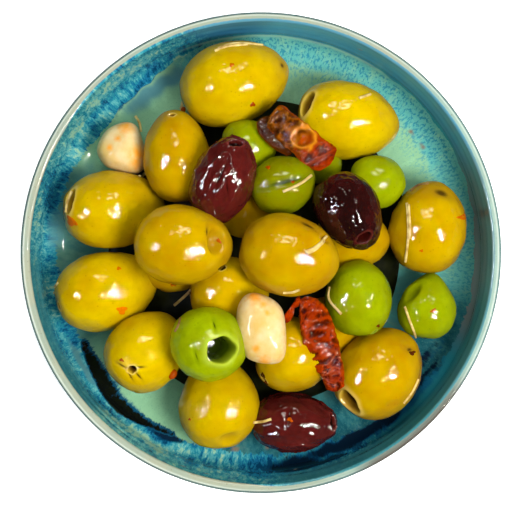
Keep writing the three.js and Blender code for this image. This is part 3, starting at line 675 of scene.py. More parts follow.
def olive_skin_material(name, pale, ripe, cast, pit_wall, pit_deep, rim, glow, shine):
    """Brined olive skin under a film of oil: pored fruit skin, a little light passing through it,
    and a thin wet coat, beaded with brine, that breaks the highlights up into sparkles."""
    material, tree = new_material(name)
    own = add_node(tree, MARK, (), "Vector", attribute_name="own")
    mark = {kind: add_node(tree, MARK, (), "Fac", attribute_name=kind)
            for kind in ("tone", "flank", "pit", "rim", "scar")}
    broad = add_node(tree, NOISE, {"Vector": own, "Scale": 1 / 9, "Detail": 2.0})
    mottle = add_node(tree, NOISE, {"Vector": own, "Scale": 1 / 2.6, "Detail": 4.0, "Roughness": 0.6})
    plump = add_node(tree, NOISE, {"Vector": own, "Scale": 1 / 3.2, "Detail": 1.0})
    ripple = add_node(tree, NOISE, {"Vector": own, "Scale": 1 / 1.6, "Detail": 1.0})
    beads, chosen = (add_node(tree, CELLS, {"Vector": own, "Scale": 0.5}, told)
                     for told in ("Distance", "Color"))
    pores = add_node(tree, CELLS, {"Vector": own, "Scale": 0.42}, "Distance")

    ripeness = add_node(tree, MATH, (mark["tone"], 0.5), **TIMES)
    ripeness = add_node(tree, MATH, (broad, 1.1, ripeness), **TIMES_PLUS)
    # Painted shade: the flanks, the hollows of deep dents and the pits are painted darker, and the pits near
    # black deep down; the pores, scars and torn rims are the skin's own.
    base = painted(
        tree, linear(pale), (add_node(tree, RANGE, (ripeness, 0.05, 1.05)), ripe),
        (add_node(tree, RANGE, (mottle, 0.45, 0.75, 0, 0.4)), cast), (mark["flank"], pit_wall, 0.5),
        (add_node(tree, RANGE, (pores, 0.05, 0.14, 0.35, 0)), pit_wall),
        (add_node(tree, RANGE, (mark["scar"], 0, 1, 0, 0.7)), pit_wall),
        (add_node(tree, RANGE, (mark["scar"], 0.55, 0.9, 0, 0.8)), pit_deep),
        (add_node(tree, RANGE, (mark["rim"], 0, 1, 0, 0.4)), rim),
        (add_node(tree, RANGE, (mark["pit"], 0.1, 0.6)), pit_wall),
        (add_node(tree, RANGE, (mark["pit"], 0.75, 1.0)), pit_deep))

    # Beads of oil stand on the skin, on about half of the cells.
    bead = add_node(tree, MATH, (add_node(tree, RANGE, (beads, 0.0, 0.36, 1, 0), **SMOOTH),
                                 add_node(tree, RANGE, (chosen, 0.52, 0.6))), **TIMES)
    swell = add_node(tree, BUMP, {"Strength": 1.0, "Distance": 0.0002, "Height": plump})
    rippled = add_node(tree, BUMP, {"Strength": 1.0, "Distance": 0.00017, "Height": ripple, "Normal": swell})
    wet = add_node(tree, BUMP, {"Strength": 1.0, "Distance": 0.00015, "Height": bead, "Normal": rippled})
    dull = add_node(tree, RANGE, (mottle, 0.3, 0.7, 0.34, 0.46))
    return finished(material, tree, {
        "Base Color": base, "Roughness": dull, "IOR": 1.45, "Specular IOR Level": 0.0, "Normal": swell,
        "Subsurface Weight": 0.12, "Subsurface Radius": glow, "Subsurface Scale": 0.002,
        "Coat Weight": shine, "Coat Roughness": 0.02, "Coat IOR": 1.47, "Coat Normal": wet})


queen_skin = olive_skin_material("brined_queen_olive_skin", "#D0B400", "#A87A00", "#A89400", "#7E5A12",
                                 "#2A1A04", "#E4CB74", (1.0, 0.6, 0.05), 0.75)
queen_parts = [olive_part(QUEEN, olive, 11 + i) for i, olive in enumerate(QUEENS)]
make_piece("queen_olives", queen_parts, queen_skin, "olive_skin", "olive_heap")

# ---- Round green olives ----
# Small mild green olives, picked unripe: bright apple green, firm and almost round. The one on top
# was pitted from end to end, so its ring of flesh stands round a dark bore.

ROUNDS = [
    dict(at=(53.2, -18, 21), bearing=80, size=(20.4, 19), tone=-0.2, tip=0.16, narrowing=0.1,
         dents=[(-5.5, 5.5, 9, 6, 60, 1.3)]),
    dict(at=(36.8, 22.6, 26), bearing=0, size=(18.6, 17.5), tone=-0.5),
    dict(at=(18.4, 28.7, 20.5), bearing=0, size=(15.5, 14), tone=0.2),
    dict(at=(-4.1, 34, 28), bearing=0, size=(18.5, 17.2), tone=0.2),
    dict(at=(6.6, 21.4, 35), bearing=15, size=(21.5, 18.3), tone=0.9,
         dents=[(1.0, 0.6, 20, 2.6, 14, 0.99)]),
    dict(at=(31, -14.7, 31), bearing=90, size=(24.8, 21.6), tone=0.0,
         pit=(4.6, -10.2, 2.4, 1.6, 70, 1.2)),
    dict(at=(-16.2, -28.4, 43), bearing=-21, tilt=68, size=(26, 23.4), tone=-0.7,
         pit=(4.3, -1.4, 9.4, 8.6, 80, 11),
         dents=[(2.0, 6.6, 6, 1.1, 95, 0.45), (-3.8, -3.2, 6, 1.0, 100, 0.45),
                (8.6, 0.0, 10, 3.4, 80, -0.9)]),
]
green_skin = olive_skin_material("brined_green_olive_skin", "#98AC04", "#767600", "#708600", "#4E6206",
                                 "#1C2602", "#B4C84A", (0.7, 1.0, 0.06), 0.75)
round_parts = [olive_part(ROUND, olive, 61 + i) for i, olive in enumerate(ROUNDS)]
make_piece("green_olives", round_parts, green_skin, "green_olive_skin", "olive_heap")

# ---- Purple olives ----
# Almond-shaped olives cured in wine vinegar: wine to near black, softer than the green ones, so
# their skins are drawn into fine wrinkles that catch the light.

ALMONDS = [
    dict(at=(10.3, -54.6, 21), bearing=-2, size=(27.8, 18.7), tone=0.5, wrinkle=0.62,
         pit=(12.6, 0.6, 6.5, 2.6, 88, 1.0), dents=[(-1.5, 2.5, 8, 1.2, 80, 0.6)]),
    dict(at=(-11.9, 22.7, 40.5), bearing=69, tilt=14, size=(28.5, 19.4), tone=0.8, wrinkle=0.6,
         pit=(4.0, 11.0, 5.2, 3.0, 20, 1.5),
         dents=[(-0.6, 1, 12, 1.3, 66, 0.5), (1.6, -3.0, 8, 1.0, 100, 0.45)]),
    dict(at=(27.3, 13.1, 38), bearing=-58, size=(25.7, 20.1), tone=-0.75, wrinkle=0.28,
         pit=(4.6, -8.6, 5.8, 3.4, 40, 4.0)),
]
purple_skin = olive_skin_material("cured_purple_olive_skin", "#1E0A09", "#541815", "#1B0808", "#3E0E0A",
                                  "#120404", "#6C2A24", (1.0, 0.2, 0.12), 0.9)
almond_parts = [olive_part(ALMOND, olive, 91 + i) for i, olive in enumerate(ALMONDS)]
make_piece("purple_olives", almond_parts, purple_skin, "purple_olive_skin", "olive_heap")

# ---- Core of the heap ----
# The olives underneath, which only show as darkness between those on top: one lumpy mound, painted near
# black as the shade in the gaps between the olives.

CORE_RADIUS = 50.0
CORE_EDGE_Z = 12.5
CORE_TOP_Z = 33.0
CORE_BASE_Z = FLOOR_Z + 0.35


def core_part():
    """A mound from its flat underside up to its lumpy top."""
    sides = 120
    bearings = np.linspace(0, 2 * math.pi, sides, endpoint=False)
    rows = [(share * CORE_RADIUS, CORE_BASE_Z) for share in np.linspace(0.1, 1, 5)]
    for share in np.linspace(1, 0.04, 44):
        height = CORE_EDGE_Z + (CORE_TOP_Z - CORE_EDGE_Z) * math.cos(share * math.pi / 2)
        rows.append((share * CORE_RADIUS, height))
    # It stands back at the right, where the floor shows between the olives.
    reach = 1 - 0.09 * window(np.degrees(bearings), -38, 8, 14)
    rings = np.array([[(r * k * math.cos(b), r * k * math.sin(b), z) for b, k in zip(bearings, reach)]
                      for r, z in rows])
    for point in rings[5:].reshape(-1, 3):
        point[2] += 2.2 * noise.noise(Vector(point) / 9) - 2.5
    return wrapped((0, 0, CORE_BASE_Z), rings, (0, 0, float(rings[-1][:, 2].mean()))) + ({},)


def core_material():
    """Painted shade between the olives: near black, hardly glossy."""
    material, tree = new_material("painted_shade_between_olives")
    mm = in_mm(tree)
    patches = add_node(tree, NOISE, {"Vector": mm, "Scale": 1 / 7, "Detail": 3.0})
    base = painted(tree, linear("#0C1005"), (add_node(tree, RANGE, (patches, 0.4, 0.65)), "#1B1E08"))
    lumps = add_node(tree, BUMP, {"Strength": 0.7, "Distance": 0.0006, "Height": patches})
    return finished(material, tree, {"Base Color": base, "Roughness": 0.55, "IOR": 1.45,
                                     "Specular IOR Level": 0.05, "Normal": lumps})


core = core_part()
make_piece("olives_underneath", [core], core_material(), "olive_skin", "olive_heap")

# ---- Garlic cloves ----
# Two whole peeled cloves, pickled with the olives: smooth ivory flesh with flat flanks, stained
# orange by the oil along the edges and where the skin was nicked.

# Each clove: its outline in plan, how far it stands over and under its middle, its flanks as
# (bearing, slope, where the slope starts) and its stains as (x, y, radius), all in mm and degrees.
CLOVES = {
    "garlic_clove_left": dict(
        node="garlic_clove_1", middle_z=19.5, rise=9.0, drop=9.2,
        outline=[(-52.8, 32.0), (-52.2, 35.8), (-49.4, 39.8), (-45.4, 41.8), (-42.2, 42.0), (-39.8, 40.4),
                 (-38.2, 36.3), (-37.0, 31.5), (-37.3, 28.3), (-38.8, 26.1), (-41.6, 25.5), (-46.1, 26.3),
                 (-50.2, 28.0)],
        flats=[(135, 0.55, 1.5), (-45, 0.30, 2.5), (-115, 0.7, 5.0)],
        stains=[(-43.4, 40.4, 2.8), (-39.2, 31.6, 2.6), (-39.9, 28.6, 2.0), (-48.2, 33.4, 1.2),
                (-45.6, 36.4, 1.2)]),
    "garlic_clove_middle": dict(
        node="garlic_clove_2", middle_z=44.5, rise=7.2, drop=7.0,
        outline=[(-7.6, -20.2), (-7.0, -16.2), (-5.2, -13.5), (-2.8, -12.4), (0.3, -12.9), (4.2, -14.8),
                 (6.7, -17.8), (7.6, -22.4), (7.8, -28.6), (7.2, -32.3), (5.2, -34.2), (1.2, -34.4),
                 (-2.8, -33.4), (-5.0, -31.6), (-7.1, -26.4)],
        flats=[(190, 0.5, 2.5), (12, 0.35, 3.0), (-80, 0.25, 6.0)],
        stains=[(-2.0, -13.6, 2.4), (0.6, -15.8, 1.1), (1.8, -18.4, 1.0), (-1.6, -29.4, 1.2),
                (1.0, -33.6, 2.0)]),
}


CLOVE_ANGLES = np.linspace(-84, 84, 41)  # from the underside to the top, 0 at the widest ring
CLOVE_SIDES = 96


def closed_curve(points, count):
    """count points along a smooth closed curve through the given ones (Catmull-Rom)."""
    points = np.array(points, float)
    made = []
    for step in np.linspace(0, len(points), count, endpoint=False):
        i, t = int(step), step % 1
        a, b, c, d = (points[(i + k) % len(points)] for k in (-1, 0, 1, 2))
        made.append(0.5 * (2 * b + (c - a) * t + (2 * a - 5 * b + 4 * c - d) * t ** 2
                           + (3 * b - a - 3 * c + d) * t ** 3))
    return np.array(made)


def clove_part(clove):
    """One clove as rings from its underside to its top, cut by its flat flanks."""
    rim = closed_curve(clove["outline"], CLOVE_SIDES)
    middle = rim.mean(axis=0)
    rings = []
    for angle in np.radians(CLOVE_ANGLES):
        reach = clove["rise"] if angle > 0 else clove["drop"]
        height = reach * math.copysign(abs(math.sin(angle)) ** 0.92, angle)
        ring = middle + (rim - middle) * math.cos(angle) ** 0.82
        rings.append(np.column_stack([ring, np.full(len(ring), clove["middle_z"] + height)]))
    rings = np.array(rings)
    # Flat flanks, where the clove lay against its neighbours in the bulb: planes meet in soft edges.
    top = clove["middle_z"] + clove["rise"]
    surfaces = [rings[..., 2]]
    for bearing, slope, start in clove["flats"]:
        turn = math.radians(bearing)
        along = (rings[..., :2] - middle) @ (math.cos(turn), math.sin(turn))
        surfaces.append(top - slope * (along - start))
    rings[..., 2] = -0.5 * np.log(sum(np.exp(-surface / 0.5) for surface in surfaces))
    for point in rings.reshape(-1, 3):
        place = Vector(point)
        point[2] += 0.35 * noise.noise(place / 6) + 0.10 * noise.noise(place / 2)
    points, faces = wrapped((*middle, clove["middle_z"] - clove["drop"]), rings,
                            (*middle, float(rings[-1, :, 2].mean()) + 0.02))
    stain = np.zeros(len(points))
    for x, y, radius in clove["stains"]:
        away = np.hypot(points[:, 0] - x, points[:, 1] - y) / radius
        stain = np.maximum(stain, np.exp(-away ** 2) * (points[:, 2] > clove["middle_z"]))
    edge = np.repeat(np.cos(np.radians(CLOVE_ANGLES)) ** 4, CLOVE_SIDES)
    return points, faces, {"stain": stain, "edge": np.concatenate([[0], edge, [0]])}


def garlic_material():
    """Peeled garlic: dense moist flesh that light enters, so it looks waxy, with a soft shine."""
    material, tree = new_material("pickled_garlic_flesh")
    mm = in_mm(tree)
    edge = add_node(tree, MARK, (), "Fac", attribute_name="edge")
    stain = add_node(tree, MARK, (), "Fac", attribute_name="stain")
    broad = add_node(tree, NOISE, {"Vector": mm, "Scale": 1 / 6, "Detail": 3.0})
    vein = add_node(tree, NOISE, {"Vector": mm, "Scale": 1 / 1.6, "Detail": 4.0, "Roughness": 0.65})
    fringe = add_node(tree, MATH, (edge, add_node(tree, RANGE, (vein, 0.4, 0.7, 0, 0.65))), **TIMES)
    stained = stirred(tree, stain, vein, 0.9)
    base = painted(
        tree, linear("#DCC898"), (add_node(tree, RANGE, (broad, 0.35, 0.7)), "#D4B468"),
        (fringe, "#CC8C38"), (add_node(tree, RANGE, (stained, 0.15, 1.0, 0, 0.85)), "#EC9A10"))
    soft = add_node(tree, BUMP, {"Strength": 0.5, "Distance": 0.0003, "Height": vein})
    return finished(material, tree, {
        "Base Color": base, "Roughness": 0.42, "IOR": 1.42, "Specular IOR Level": 0.05, "Normal": soft,
        "Subsurface Weight": 0.35, "Subsurface Radius": (1.0, 0.7, 0.35), "Subsurface Scale": 0.0018,
        "Coat Weight": 0.4, "Coat Roughness": 0.08})


garlic_flesh = garlic_material()
clove_parts = {}
for name, clove in CLOVES.items():
    clove_parts[name] = clove_part(clove)
    make_piece(name, [clove_parts[name]], garlic_flesh, "garlic_flesh", clove["node"])

# ---- Dried tomato ----
# Two pieces of half-dried tomato, slumped over the olives: thin leathery skin drawn into sharp
# cross folds, red where it is thick, brown and amber where it is thin. Each is two sheets, stuck.

# Each sheet lies between two edges, given in plan in mm, at heights told along it. fold is how deep
# its folds are; brown is the share of it that browned, from its start; the value after it paints
# shade all over the sheet, for one that lies under another; eye is the ring round a seed pocket, as
# (x, y, radius); seed picks its folds.
SHEETS = {
    "dried_tomato_back": dict(node="dried_tomato_1", sheets=[
        dict(left=[(3.4, 44.1), (6.3, 46.3), (9.7, 43.8), (13.2, 41.3), (16.3, 38.8), (19.7, 35.6),
                   (22.6, 33.8), (24.4, 31.6)],
             right=[(2.2, 41.9), (1.6, 39.7), (4.1, 36.6), (7.2, 33.4), (9.7, 31.6), (12.2, 28.7), (15, 26.5),
                    (20.1, 25.3)],
             heights=[37, 38, 38.4, 38, 36.5], thickness=3.8, fold=0.8, brown=0.62, dark=0.0,
             eye=(13.5, 35.9, 3.4), seed=3),
        dict(left=[(2.8, 43.5), (3.4, 41), (5.3, 38.1), (7.8, 35), (10.3, 32.2)],
             right=[(-1.6, 41.6), (-0.9, 37.8), (1.3, 35), (4.1, 32.5), (9.1, 30)],
             heights=[36.2, 36.8, 37, 36.8, 36], thickness=2.8, fold=0.4, brown=1.2, dark=1.0,
             eye=None, seed=5)]),
    "dried_tomato_front": dict(node="dried_tomato_2", sheets=[
        dict(left=[(12.2, -13.6), (16, -13.9), (19.1, -15.8), (21.6, -19.5), (23.2, -24.2), (24.4, -28.3),
                   (25.1, -32.4), (26, -36.1), (26.3, -40.2), (26, -43.3)],
             right=[(11.9, -16.4), (11.9, -19.8), (12.2, -23), (12.8, -26.7), (14.1, -31.1), (16, -34.9),
                    (18.2, -38), (19.1, -39.3), (20.1, -41.8), (21, -44)],
             heights=[41, 41, 40.5, 40, 39, 38, 37, 36, 35, 34.5], thickness=3.6, fold=1.1, brown=0.0,
             dark=0.0, eye=None, seed=8),
        dict(left=[(12.2, -13.0), (10.6, -14.9), (10.3, -18.8), (9.2, -21.4)],
             right=[(12.2, -16.6), (8.4, -18.2), (6.7, -20.5), (7.4, -22.2)],
             heights=[41, 41.2, 41, 40.4], thickness=2.8, fold=0.4, brown=0.0, dark=0.0, eye=None, seed=12)]),
}


def open_curve(points, share):
    """The point at a share of the way along a smooth curve through the given ones."""
    points = np.array(points, float)
    points = np.concatenate([[2 * points[0] - points[1]], points, [2 * points[-1] - points[-2]]])
    step = min(share * (len(points) - 3), len(points) - 3 - 1e-6)
    i, t = int(step), step % 1
    a, b, c, d = points[i:i + 4]
    return 0.5 * (2 * b + (c - a) * t + (2 * a - 5 * b + 4 * c - d) * t ** 2
                  + (3 * b - a - 3 * c + d) * t ** 3)


def sheet_part(sheet):
    """One sheet as a closed skin of rings across it, thickest in the middle, folded on its top."""
    steps, sides = 120, 80
    angles = np.linspace(0, 2 * math.pi, sides, endpoint=False)
    rings, marks = [], {"edge": [], "browned": [], "dark": [], "ridge": [], "lit": []}
    length = np.linalg.norm(np.diff(np.array(sheet["left"]), axis=0), axis=1).sum()
    seed = sheet["seed"]
    for share in np.linspace(0, 1, steps):
        left, right = open_curve(sheet["left"], share), open_curve(sheet["right"], share)
        heights = sheet["heights"]
        height = float(np.interp(share * (len(heights) - 1), range(len(heights)), heights))
        middle, across = (left + right) / 2, (right - left) / 2
        closing = min(1.0, 0.3 + share * 16, 0.3 + (1 - share) * 16)
        ring = []
        for angle in angles:
            side = math.copysign(abs(math.cos(angle)) ** 0.6, math.cos(angle))
            top = math.copysign(abs(math.sin(angle)) ** 0.8, math.sin(angle))
            place = middle + across * side
            # Folds run across the sheet, a little slanted, and grow finer towards the edges.
            grain = Vector((share * length / 2.6 + 0.8 * side + seed, side * 1.3, seed))
            fold = 1 - 2.2 * abs(noise.noise(grain))
            fine = 1 - 2.2 * abs(noise.noise(Vector((grain.x * 2.1, grain.y * 2.8, 3))))
            finest = 1 - 2.2 * abs(noise.noise(Vector((grain.x * 4.3, grain.y * 6.1, 7))))
            ragged = noise.noise(Vector((share * length / 1.6, side * 2, seed + 4)))
            lift = sheet["thickness"] / 2 * closing ** 0.5 * top * (1 - 0.35 * side ** 4)
            # The seed pocket: flatter skin, a raised ring round it and a hollow within.
            flat = lit = hollow = 0.0
            if sheet["eye"]:
                x, y, radius = sheet["eye"]
                away = math.hypot(place[0] - x, place[1] - y) / radius
                flat = 1 - smooth_step(away, 0.9, 1.4)
                if top > 0:
                    away *= 1 + 0.4 * noise.noise(Vector((place[0] / 2.2, place[1] / 2.2, 1)))
                    lit = math.exp(-((away - 1) / 0.2) ** 2)
                    hollow = 1 - smooth_step(away, 0.3, 0.85)
            crease = (1 - 0.8 * flat) * sheet["fold"] * (1.2 * fold + 0.75 * fine + 0.35 * finest - 1.3)
            crease *= max(top, 0) ** 0.4 * closing
            lift += crease + 0.5 * abs(side) ** 3 * ragged + 0.8 * lit - 1.3 * hollow
            drawn = middle + across * side * closing * (1 + 0.07 * ragged * abs(side) ** 4)
            ring.append((*drawn, height + lift))
            brown = sheet["brown"]
            browned = 1 - float(smooth_step(share + 0.1 * ragged, brown - 0.12, brown + 0.1))
            marks["edge"].append(abs(side) ** 10)
            marks["browned"].append(browned if brown else 0.0)
            # Painted shade: darker in the hollows of the folds, and all over a sheet that lies under another.
            marks["dark"].append(max(sheet["dark"], float(smooth_step(-crease, 0.1, 0.7))))
            # Painted light: lighter on the ridges of the folds, and a golden ring round a seed pocket.
            marks["ridge"].append(float(smooth_step(crease, 0.15, 0.7)))
            marks["lit"].append(lit)
        rings.append(ring)
    rings = np.array(rings)
    points, faces = wrapped(rings[0].mean(axis=0), rings, rings[-1].mean(axis=0))
    for name, values in marks.items():
        marks[name] = np.array([values[0]] + values + [values[-1]])
    return points, faces, marks


def tomato_material():
    """Half-dried tomato under oil: translucent leathery skin, glossy on the folds."""
    material, tree = new_material("half_dried_tomato_skin")
    mm = in_mm(tree)
    mark = {kind: add_node(tree, MARK, (), "Fac", attribute_name=kind)
            for kind in ("edge", "browned", "dark", "ridge", "lit")}
    broad = add_node(tree, NOISE, {"Vector": mm, "Scale": 1 / 4.5, "Detail": 3.0})
    vein = add_node(tree, NOISE, {"Vector": mm, "Scale": 1 / 1.4, "Detail": 4.0, "Roughness": 0.65})
    crinkle = add_node(tree, NOISE, {"Vector": mm, "Scale": 1 / 1.1, "Detail": 1.0})
    fringe = add_node(tree, MATH, (mark["edge"], add_node(tree, RANGE, (vein, 0.35, 0.6, 0.2, 1))), **TIMES)
    red = painted(tree, linear("#6A1400"), (add_node(tree, RANGE, (broad, 0.35, 0.65)), "#A43000"))
    brown = painted(tree, linear("#401C00"), (add_node(tree, RANGE, (broad, 0.38, 0.62)), "#8A4600"))
    tint = painted(tree, linear("#942C00"), (mark["browned"], "#9A5A00"))
    # Painted light: the fold ridges lighter and the ring round a seed pocket golden. Painted shade: the fold
    # hollows and an under sheet near black brown.
    base = painted(
        tree, red, (mark["browned"], brown), (add_node(tree, RANGE, (mark["ridge"], 0, 1, 0, 0.8)), tint),
        (add_node(tree, RANGE, (mark["dark"], 0, 1, 0, 0.8)), "#240600"), (fringe, "#A84600"),
        (add_node(tree, RANGE, (mark["lit"], 0, 1, 0, 0.8)), "#D08410"),
        (add_node(tree, RANGE, (vein, 0.58, 0.72, 0, 0.45)), "#2E0800"))
    skin = add_node(tree, BUMP, {"Strength": 0.8, "Distance": 0.00015, "Height": crinkle})
    return finished(material, tree, {
        "Base Color": base, "Roughness": 0.5, "IOR": 1.45, "Specular IOR Level": 0.0,
        "Subsurface Weight": 0.06, "Subsurface Radius": (1.0, 0.2, 0.05), "Subsurface Scale": 0.001,
        "Coat Weight": 0.5, "Coat Roughness": 0.02, "Coat Normal": skin})


tomato_skin = tomato_material()
sheet_parts = {}
for name, piece in SHEETS.items():
    sheet_parts[name] = [sheet_part(sheet) for sheet in piece["sheets"]]
    make_piece(name, sheet_parts[name], tomato_skin, "dried_tomato_skin", piece["node"])

# ---- Rosemary needles ----
# Leaves of dried rosemary from the marinade, stuck to whatever they touched: straw-coloured,
# stiff, pointed at both ends, with rolled edges and a dark groove between. Each hugs the skin.

NEEDLE_WIDTH = 0.86
NEEDLE_THICKNESS = 0.6
GROOVE_DEPTH = 0.35  # share of the thickness
# Start, middle and end of each needle in plan, in mm, and how wide it is beside the usual.
NEEDLES = [
    ([(-13.6, 64.7), (-8.2, 66.4), (0.6, 66.2)], 1.0), ([(-14.6, 63.8), (-10.4, 65.4), (-4.2, 66.0)], 0.7),
    ([(-41.0, 44.6), (-39.6, 42.2), (-39.2, 39.4)], 1.0),
    ([(-39.0, 24.6), (-38.4, 25.3), (-37.8, 26.0)], 1.1),
    ([(-60.2, 19.5), (-61.6, 16.0), (-62.0, 12.8)], 1.0),
    ([(-67.5, -13.4), (-66.2, -11.4), (-64.4, -9.6)], 1.0),
    ([(-28.0, -17.0), (-25.1, -14.5), (-22.3, -11.9)], 1.0), ([(6.8, 18.9), (12.1, 21.4), (15.8, 24.2)], 1.6),
    ([(13.5, 0.2), (17.2, 2.1), (20.2, 5.1)], 1.0), ([(13.9, -0.3), (16.6, 1.0), (19.4, 3.6)], 0.6),
    ([(6.8, -12.3), (9.4, -12.2), (11.8, -11.4)], 1.2), ([(21.6, -10.8), (21.4, -14.8), (25.1, -19.2)], 1.3),
    ([(45.9, -17.3), (47.5, -22.1), (49.8, -27.2)], 1.2),
    ([(45.3, -47.8), (48.0, -44.2), (50.0, -40.3)], 1.2),
    ([(46.2, 15.7), (46.5, 6.6), (45.9, -2.9)], 1.0), ([(46.7, 15.2), (46.9, 9.5), (46.8, 4.4)], 0.6),
    ([(-2.4, -54.1), (0.3, -53.8), (3.2, -52.8)], 1.3), ([(-25.6, 49.4), (-25.8, 48.0), (-26.3, 46.8)], 0.9),
    ([(31.0, 48.8), (32.9, 49.6), (34.8, 50.3)], 1.3),
]
BROWNED_NEEDLES = [
    ([(47.8, 19.6), (50.3, 21.6), (53.4, 22.0)], 1.0),
    ([(-24.9, -20.2), (-25.4, -22.4), (-26.5, -24.3)], 1.1),
]

heap_parts = queen_parts + round_parts + almond_parts + [core] + list(clove_parts.values())
heap_parts += [part for parts in sheet_parts.values() for part in parts]
ground_points, ground_faces = [], []
for part_points, part_faces, _ in heap_parts:
    shift = len(ground_points)
    ground_points += [tuple(point) for point in part_points]
    ground_faces += [tuple(int(corner) + shift for corner in face) for face in part_faces]
ground = BVHTree.FromPolygons(ground_points, ground_faces)


def drop_on_heap(x, y):
    """Height and upright of the heap's skin at a point in plan, in mm."""
    hit, normal, _, _ = ground.ray_cast(Vector((x, y, 90)), Vector((0, 0, -1)))
    if hit is None:
        return CORE_EDGE_Z, Vector((0, 0, 1))
    return hit.z, normal if normal.z > 0 else -normal


def needle_tree(material):
    """Geometry Nodes that wrap a flat tapered leaf, grooved along its top, round each path."""
    tree = bpy.data.node_groups.new("rosemary_leaf_on_path", "GeometryNodeTree")
    face = tree.interface
    face.new_socket("Geometry", in_out="INPUT", socket_type="NodeSocketGeometry")
    face.new_socket("Width", in_out="INPUT", socket_type="NodeSocketFloat")
    face.new_socket("Thickness", in_out="INPUT", socket_type="NodeSocketFloat")
    face.new_socket("Geometry", in_out="OUTPUT", socket_type="NodeSocketGeometry")
    path = add_node(tree, "NodeGroupInput", (), "Geometry")
    width = add_node(tree, "NodeGroupInput", (), "Width")
    thickness = add_node(tree, "NodeGroupInput", (), "Thickness")
    finer = add_node(tree, "GeometryNodeResampleCurve", {"Curve": path, "Count": 20})
    upright = add_node(tree, "GeometryNodeSetCurveNormal", {"Curve": finer}, mode="Z_UP")
    along = add_node(tree, "GeometryNodeSplineParameter", (), "Factor")
    bow = add_node(tree, MATH, (along, 2.84, 0.15), **TIMES_PLUS)
    taper = add_node(tree, MATH, (add_node(tree, MATH, (bow,), operation="SINE"), 0.7), operation="POWER")
    wide = add_node(tree, MATH, (taper, add_node(tree, "GeometryNodeInputRadius")), **TIMES)
    tapered = add_node(tree, "GeometryNodeSetCurveRadius", {"Curve": upright, "Radius": wide})
    place = add_node(tree, "GeometryNodeInputPosition")
    across = add_node(tree, "ShaderNodeSeparateXYZ", (place,), "X")
    above = add_node(tree, "ShaderNodeSeparateXYZ", (place,), "Y")
    from_middle = add_node(tree, MATH, (across, across), **TIMES)
    fall = add_node(tree, MATH, (from_middle, -34.0), **TIMES)
    dip = add_node(tree, MATH, (fall,), operation="EXPONENT")
    on_top = add_node(tree, MATH, (above, 0.0), operation="GREATER_THAN")
    groove = add_node(tree, MATH, (dip, on_top), **TIMES)
    sunk = add_node(tree, MATH, (groove, -GROOVE_DEPTH), **TIMES)
    ring = add_node(tree, "GeometryNodeCurvePrimitiveCircle", {"Resolution": 28, "Radius": 0.5})
    told = add_node(tree, "GeometryNodeStoreNamedAttribute",
                    {"Geometry": ring, "Name": "groove", "Value": groove})
    grooved = add_node(tree, "GeometryNodeSetPosition", {
        "Geometry": told, "Offset": add_node(tree, "ShaderNodeCombineXYZ", (0.0, sunk, 0.0))})
    flat = add_node(tree, "GeometryNodeTransform", {
        "Geometry": grooved, "Scale": add_node(tree, "ShaderNodeCombineXYZ", (width, thickness, 1.0))})
    leaf = add_node(tree, "GeometryNodeCurveToMesh",
                    {"Curve": tapered, "Profile Curve": flat, "Fill Caps": True})
    smooth = add_node(tree, "GeometryNodeSetShadeSmooth", {"Geometry": leaf})
    real = add_node(tree, "GeometryNodeRealizeInstances", {"Geometry": smooth})
    dressed = add_node(tree, "GeometryNodeSetMaterial", {"Geometry": real, "Material": material})
    add_node(tree, "NodeGroupOutput", {"Geometry": dressed})
    return tree


def needle_material(name, pale, dull, groove_colour):
    """Dried rosemary: straw edges with a darker groove between them, oiled."""
    material, tree = new_material(name)
    mm = in_mm(tree)
    groove = add_node(tree, MARK, (), "Fac", attribute_name="groove")
    patches = add_node(tree, NOISE, {"Vector": mm, "Scale": 1 / 2.2, "Detail": 3.0})
    fibre = add_node(tree, NOISE, {"Vector": mm, "Scale": 2.5, "Detail": 2.0})
    base = painted(tree, linear(pale), (add_node(tree, RANGE, (patches, 0.35, 0.7)), dull),
                   (add_node(tree, RANGE, (groove, 0.2, 0.8, 0, 0.8)), groove_colour))
    rough = add_node(tree, BUMP, {"Strength": 0.5, "Distance": 0.0001, "Height": fibre})
    return finished(material, tree, {"Base Color": base, "Roughness": 0.4, "IOR": 1.45, "Normal": rough,
                                     "Specular IOR Level": 0.1, "Coat Weight": 0.3, "Coat Roughness": 0.08})


def hugging_route(points):
    """A route that lies on the skin under a bent needle, bridging small hollows."""
    route = []
    for share in np.linspace(0, 1, 9):
        x, y = open_curve(points, share)
        height, _ = drop_on_heap(x, y)
        route.append([x, y, height + NEEDLE_THICKNESS * 0.35])
    heights = [place[2] for place in route]
    for i in range(1, len(route) - 1):
        route[i][2] = max(heights[i], (heights[i - 1] + heights[i + 1]) / 2)
    return route


def needle_piece(name, needles, material):
    """Needles along their routes as one piece, each a path that the leaf tree wraps."""
    curve = bpy.data.curves.new(name + "_paths", "CURVE")
    curve.dimensions = "3D"
    for points, breadth in needles:
        route = hugging_route(points)
        spline = curve.splines.new("POLY")
        spline.points.add(len(route) - 1)
        for point, place in zip(spline.points, route):
            point.co = (*(np.array(place) * MM), 1)
            point.radius = breadth
    holder = bpy.data.objects.new(name + "_paths", curve)
    bpy.context.scene.collection.objects.link(holder)
    tree = needle_tree(material)
    modifier = holder.modifiers.new("leaf", "NODES")
    modifier.node_group = tree
    for socket, value in (("Width", NEEDLE_WIDTH * MM), ("Thickness", NEEDLE_THICKNESS * MM)):
        modifier[tree.interface.items_tree[socket].identifier] = value
    evaluated = holder.evaluated_get(bpy.context.evaluated_depsgraph_get())
    mesh = bpy.data.meshes.new_from_object(evaluated)
    bpy.data.objects.remove(holder)
    mesh.name = name
    piece = bpy.data.objects.new(name, mesh)
    bpy.context.scene.collection.objects.link(piece)
    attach(piece, BODY)
    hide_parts("olive_heap")
    return piece


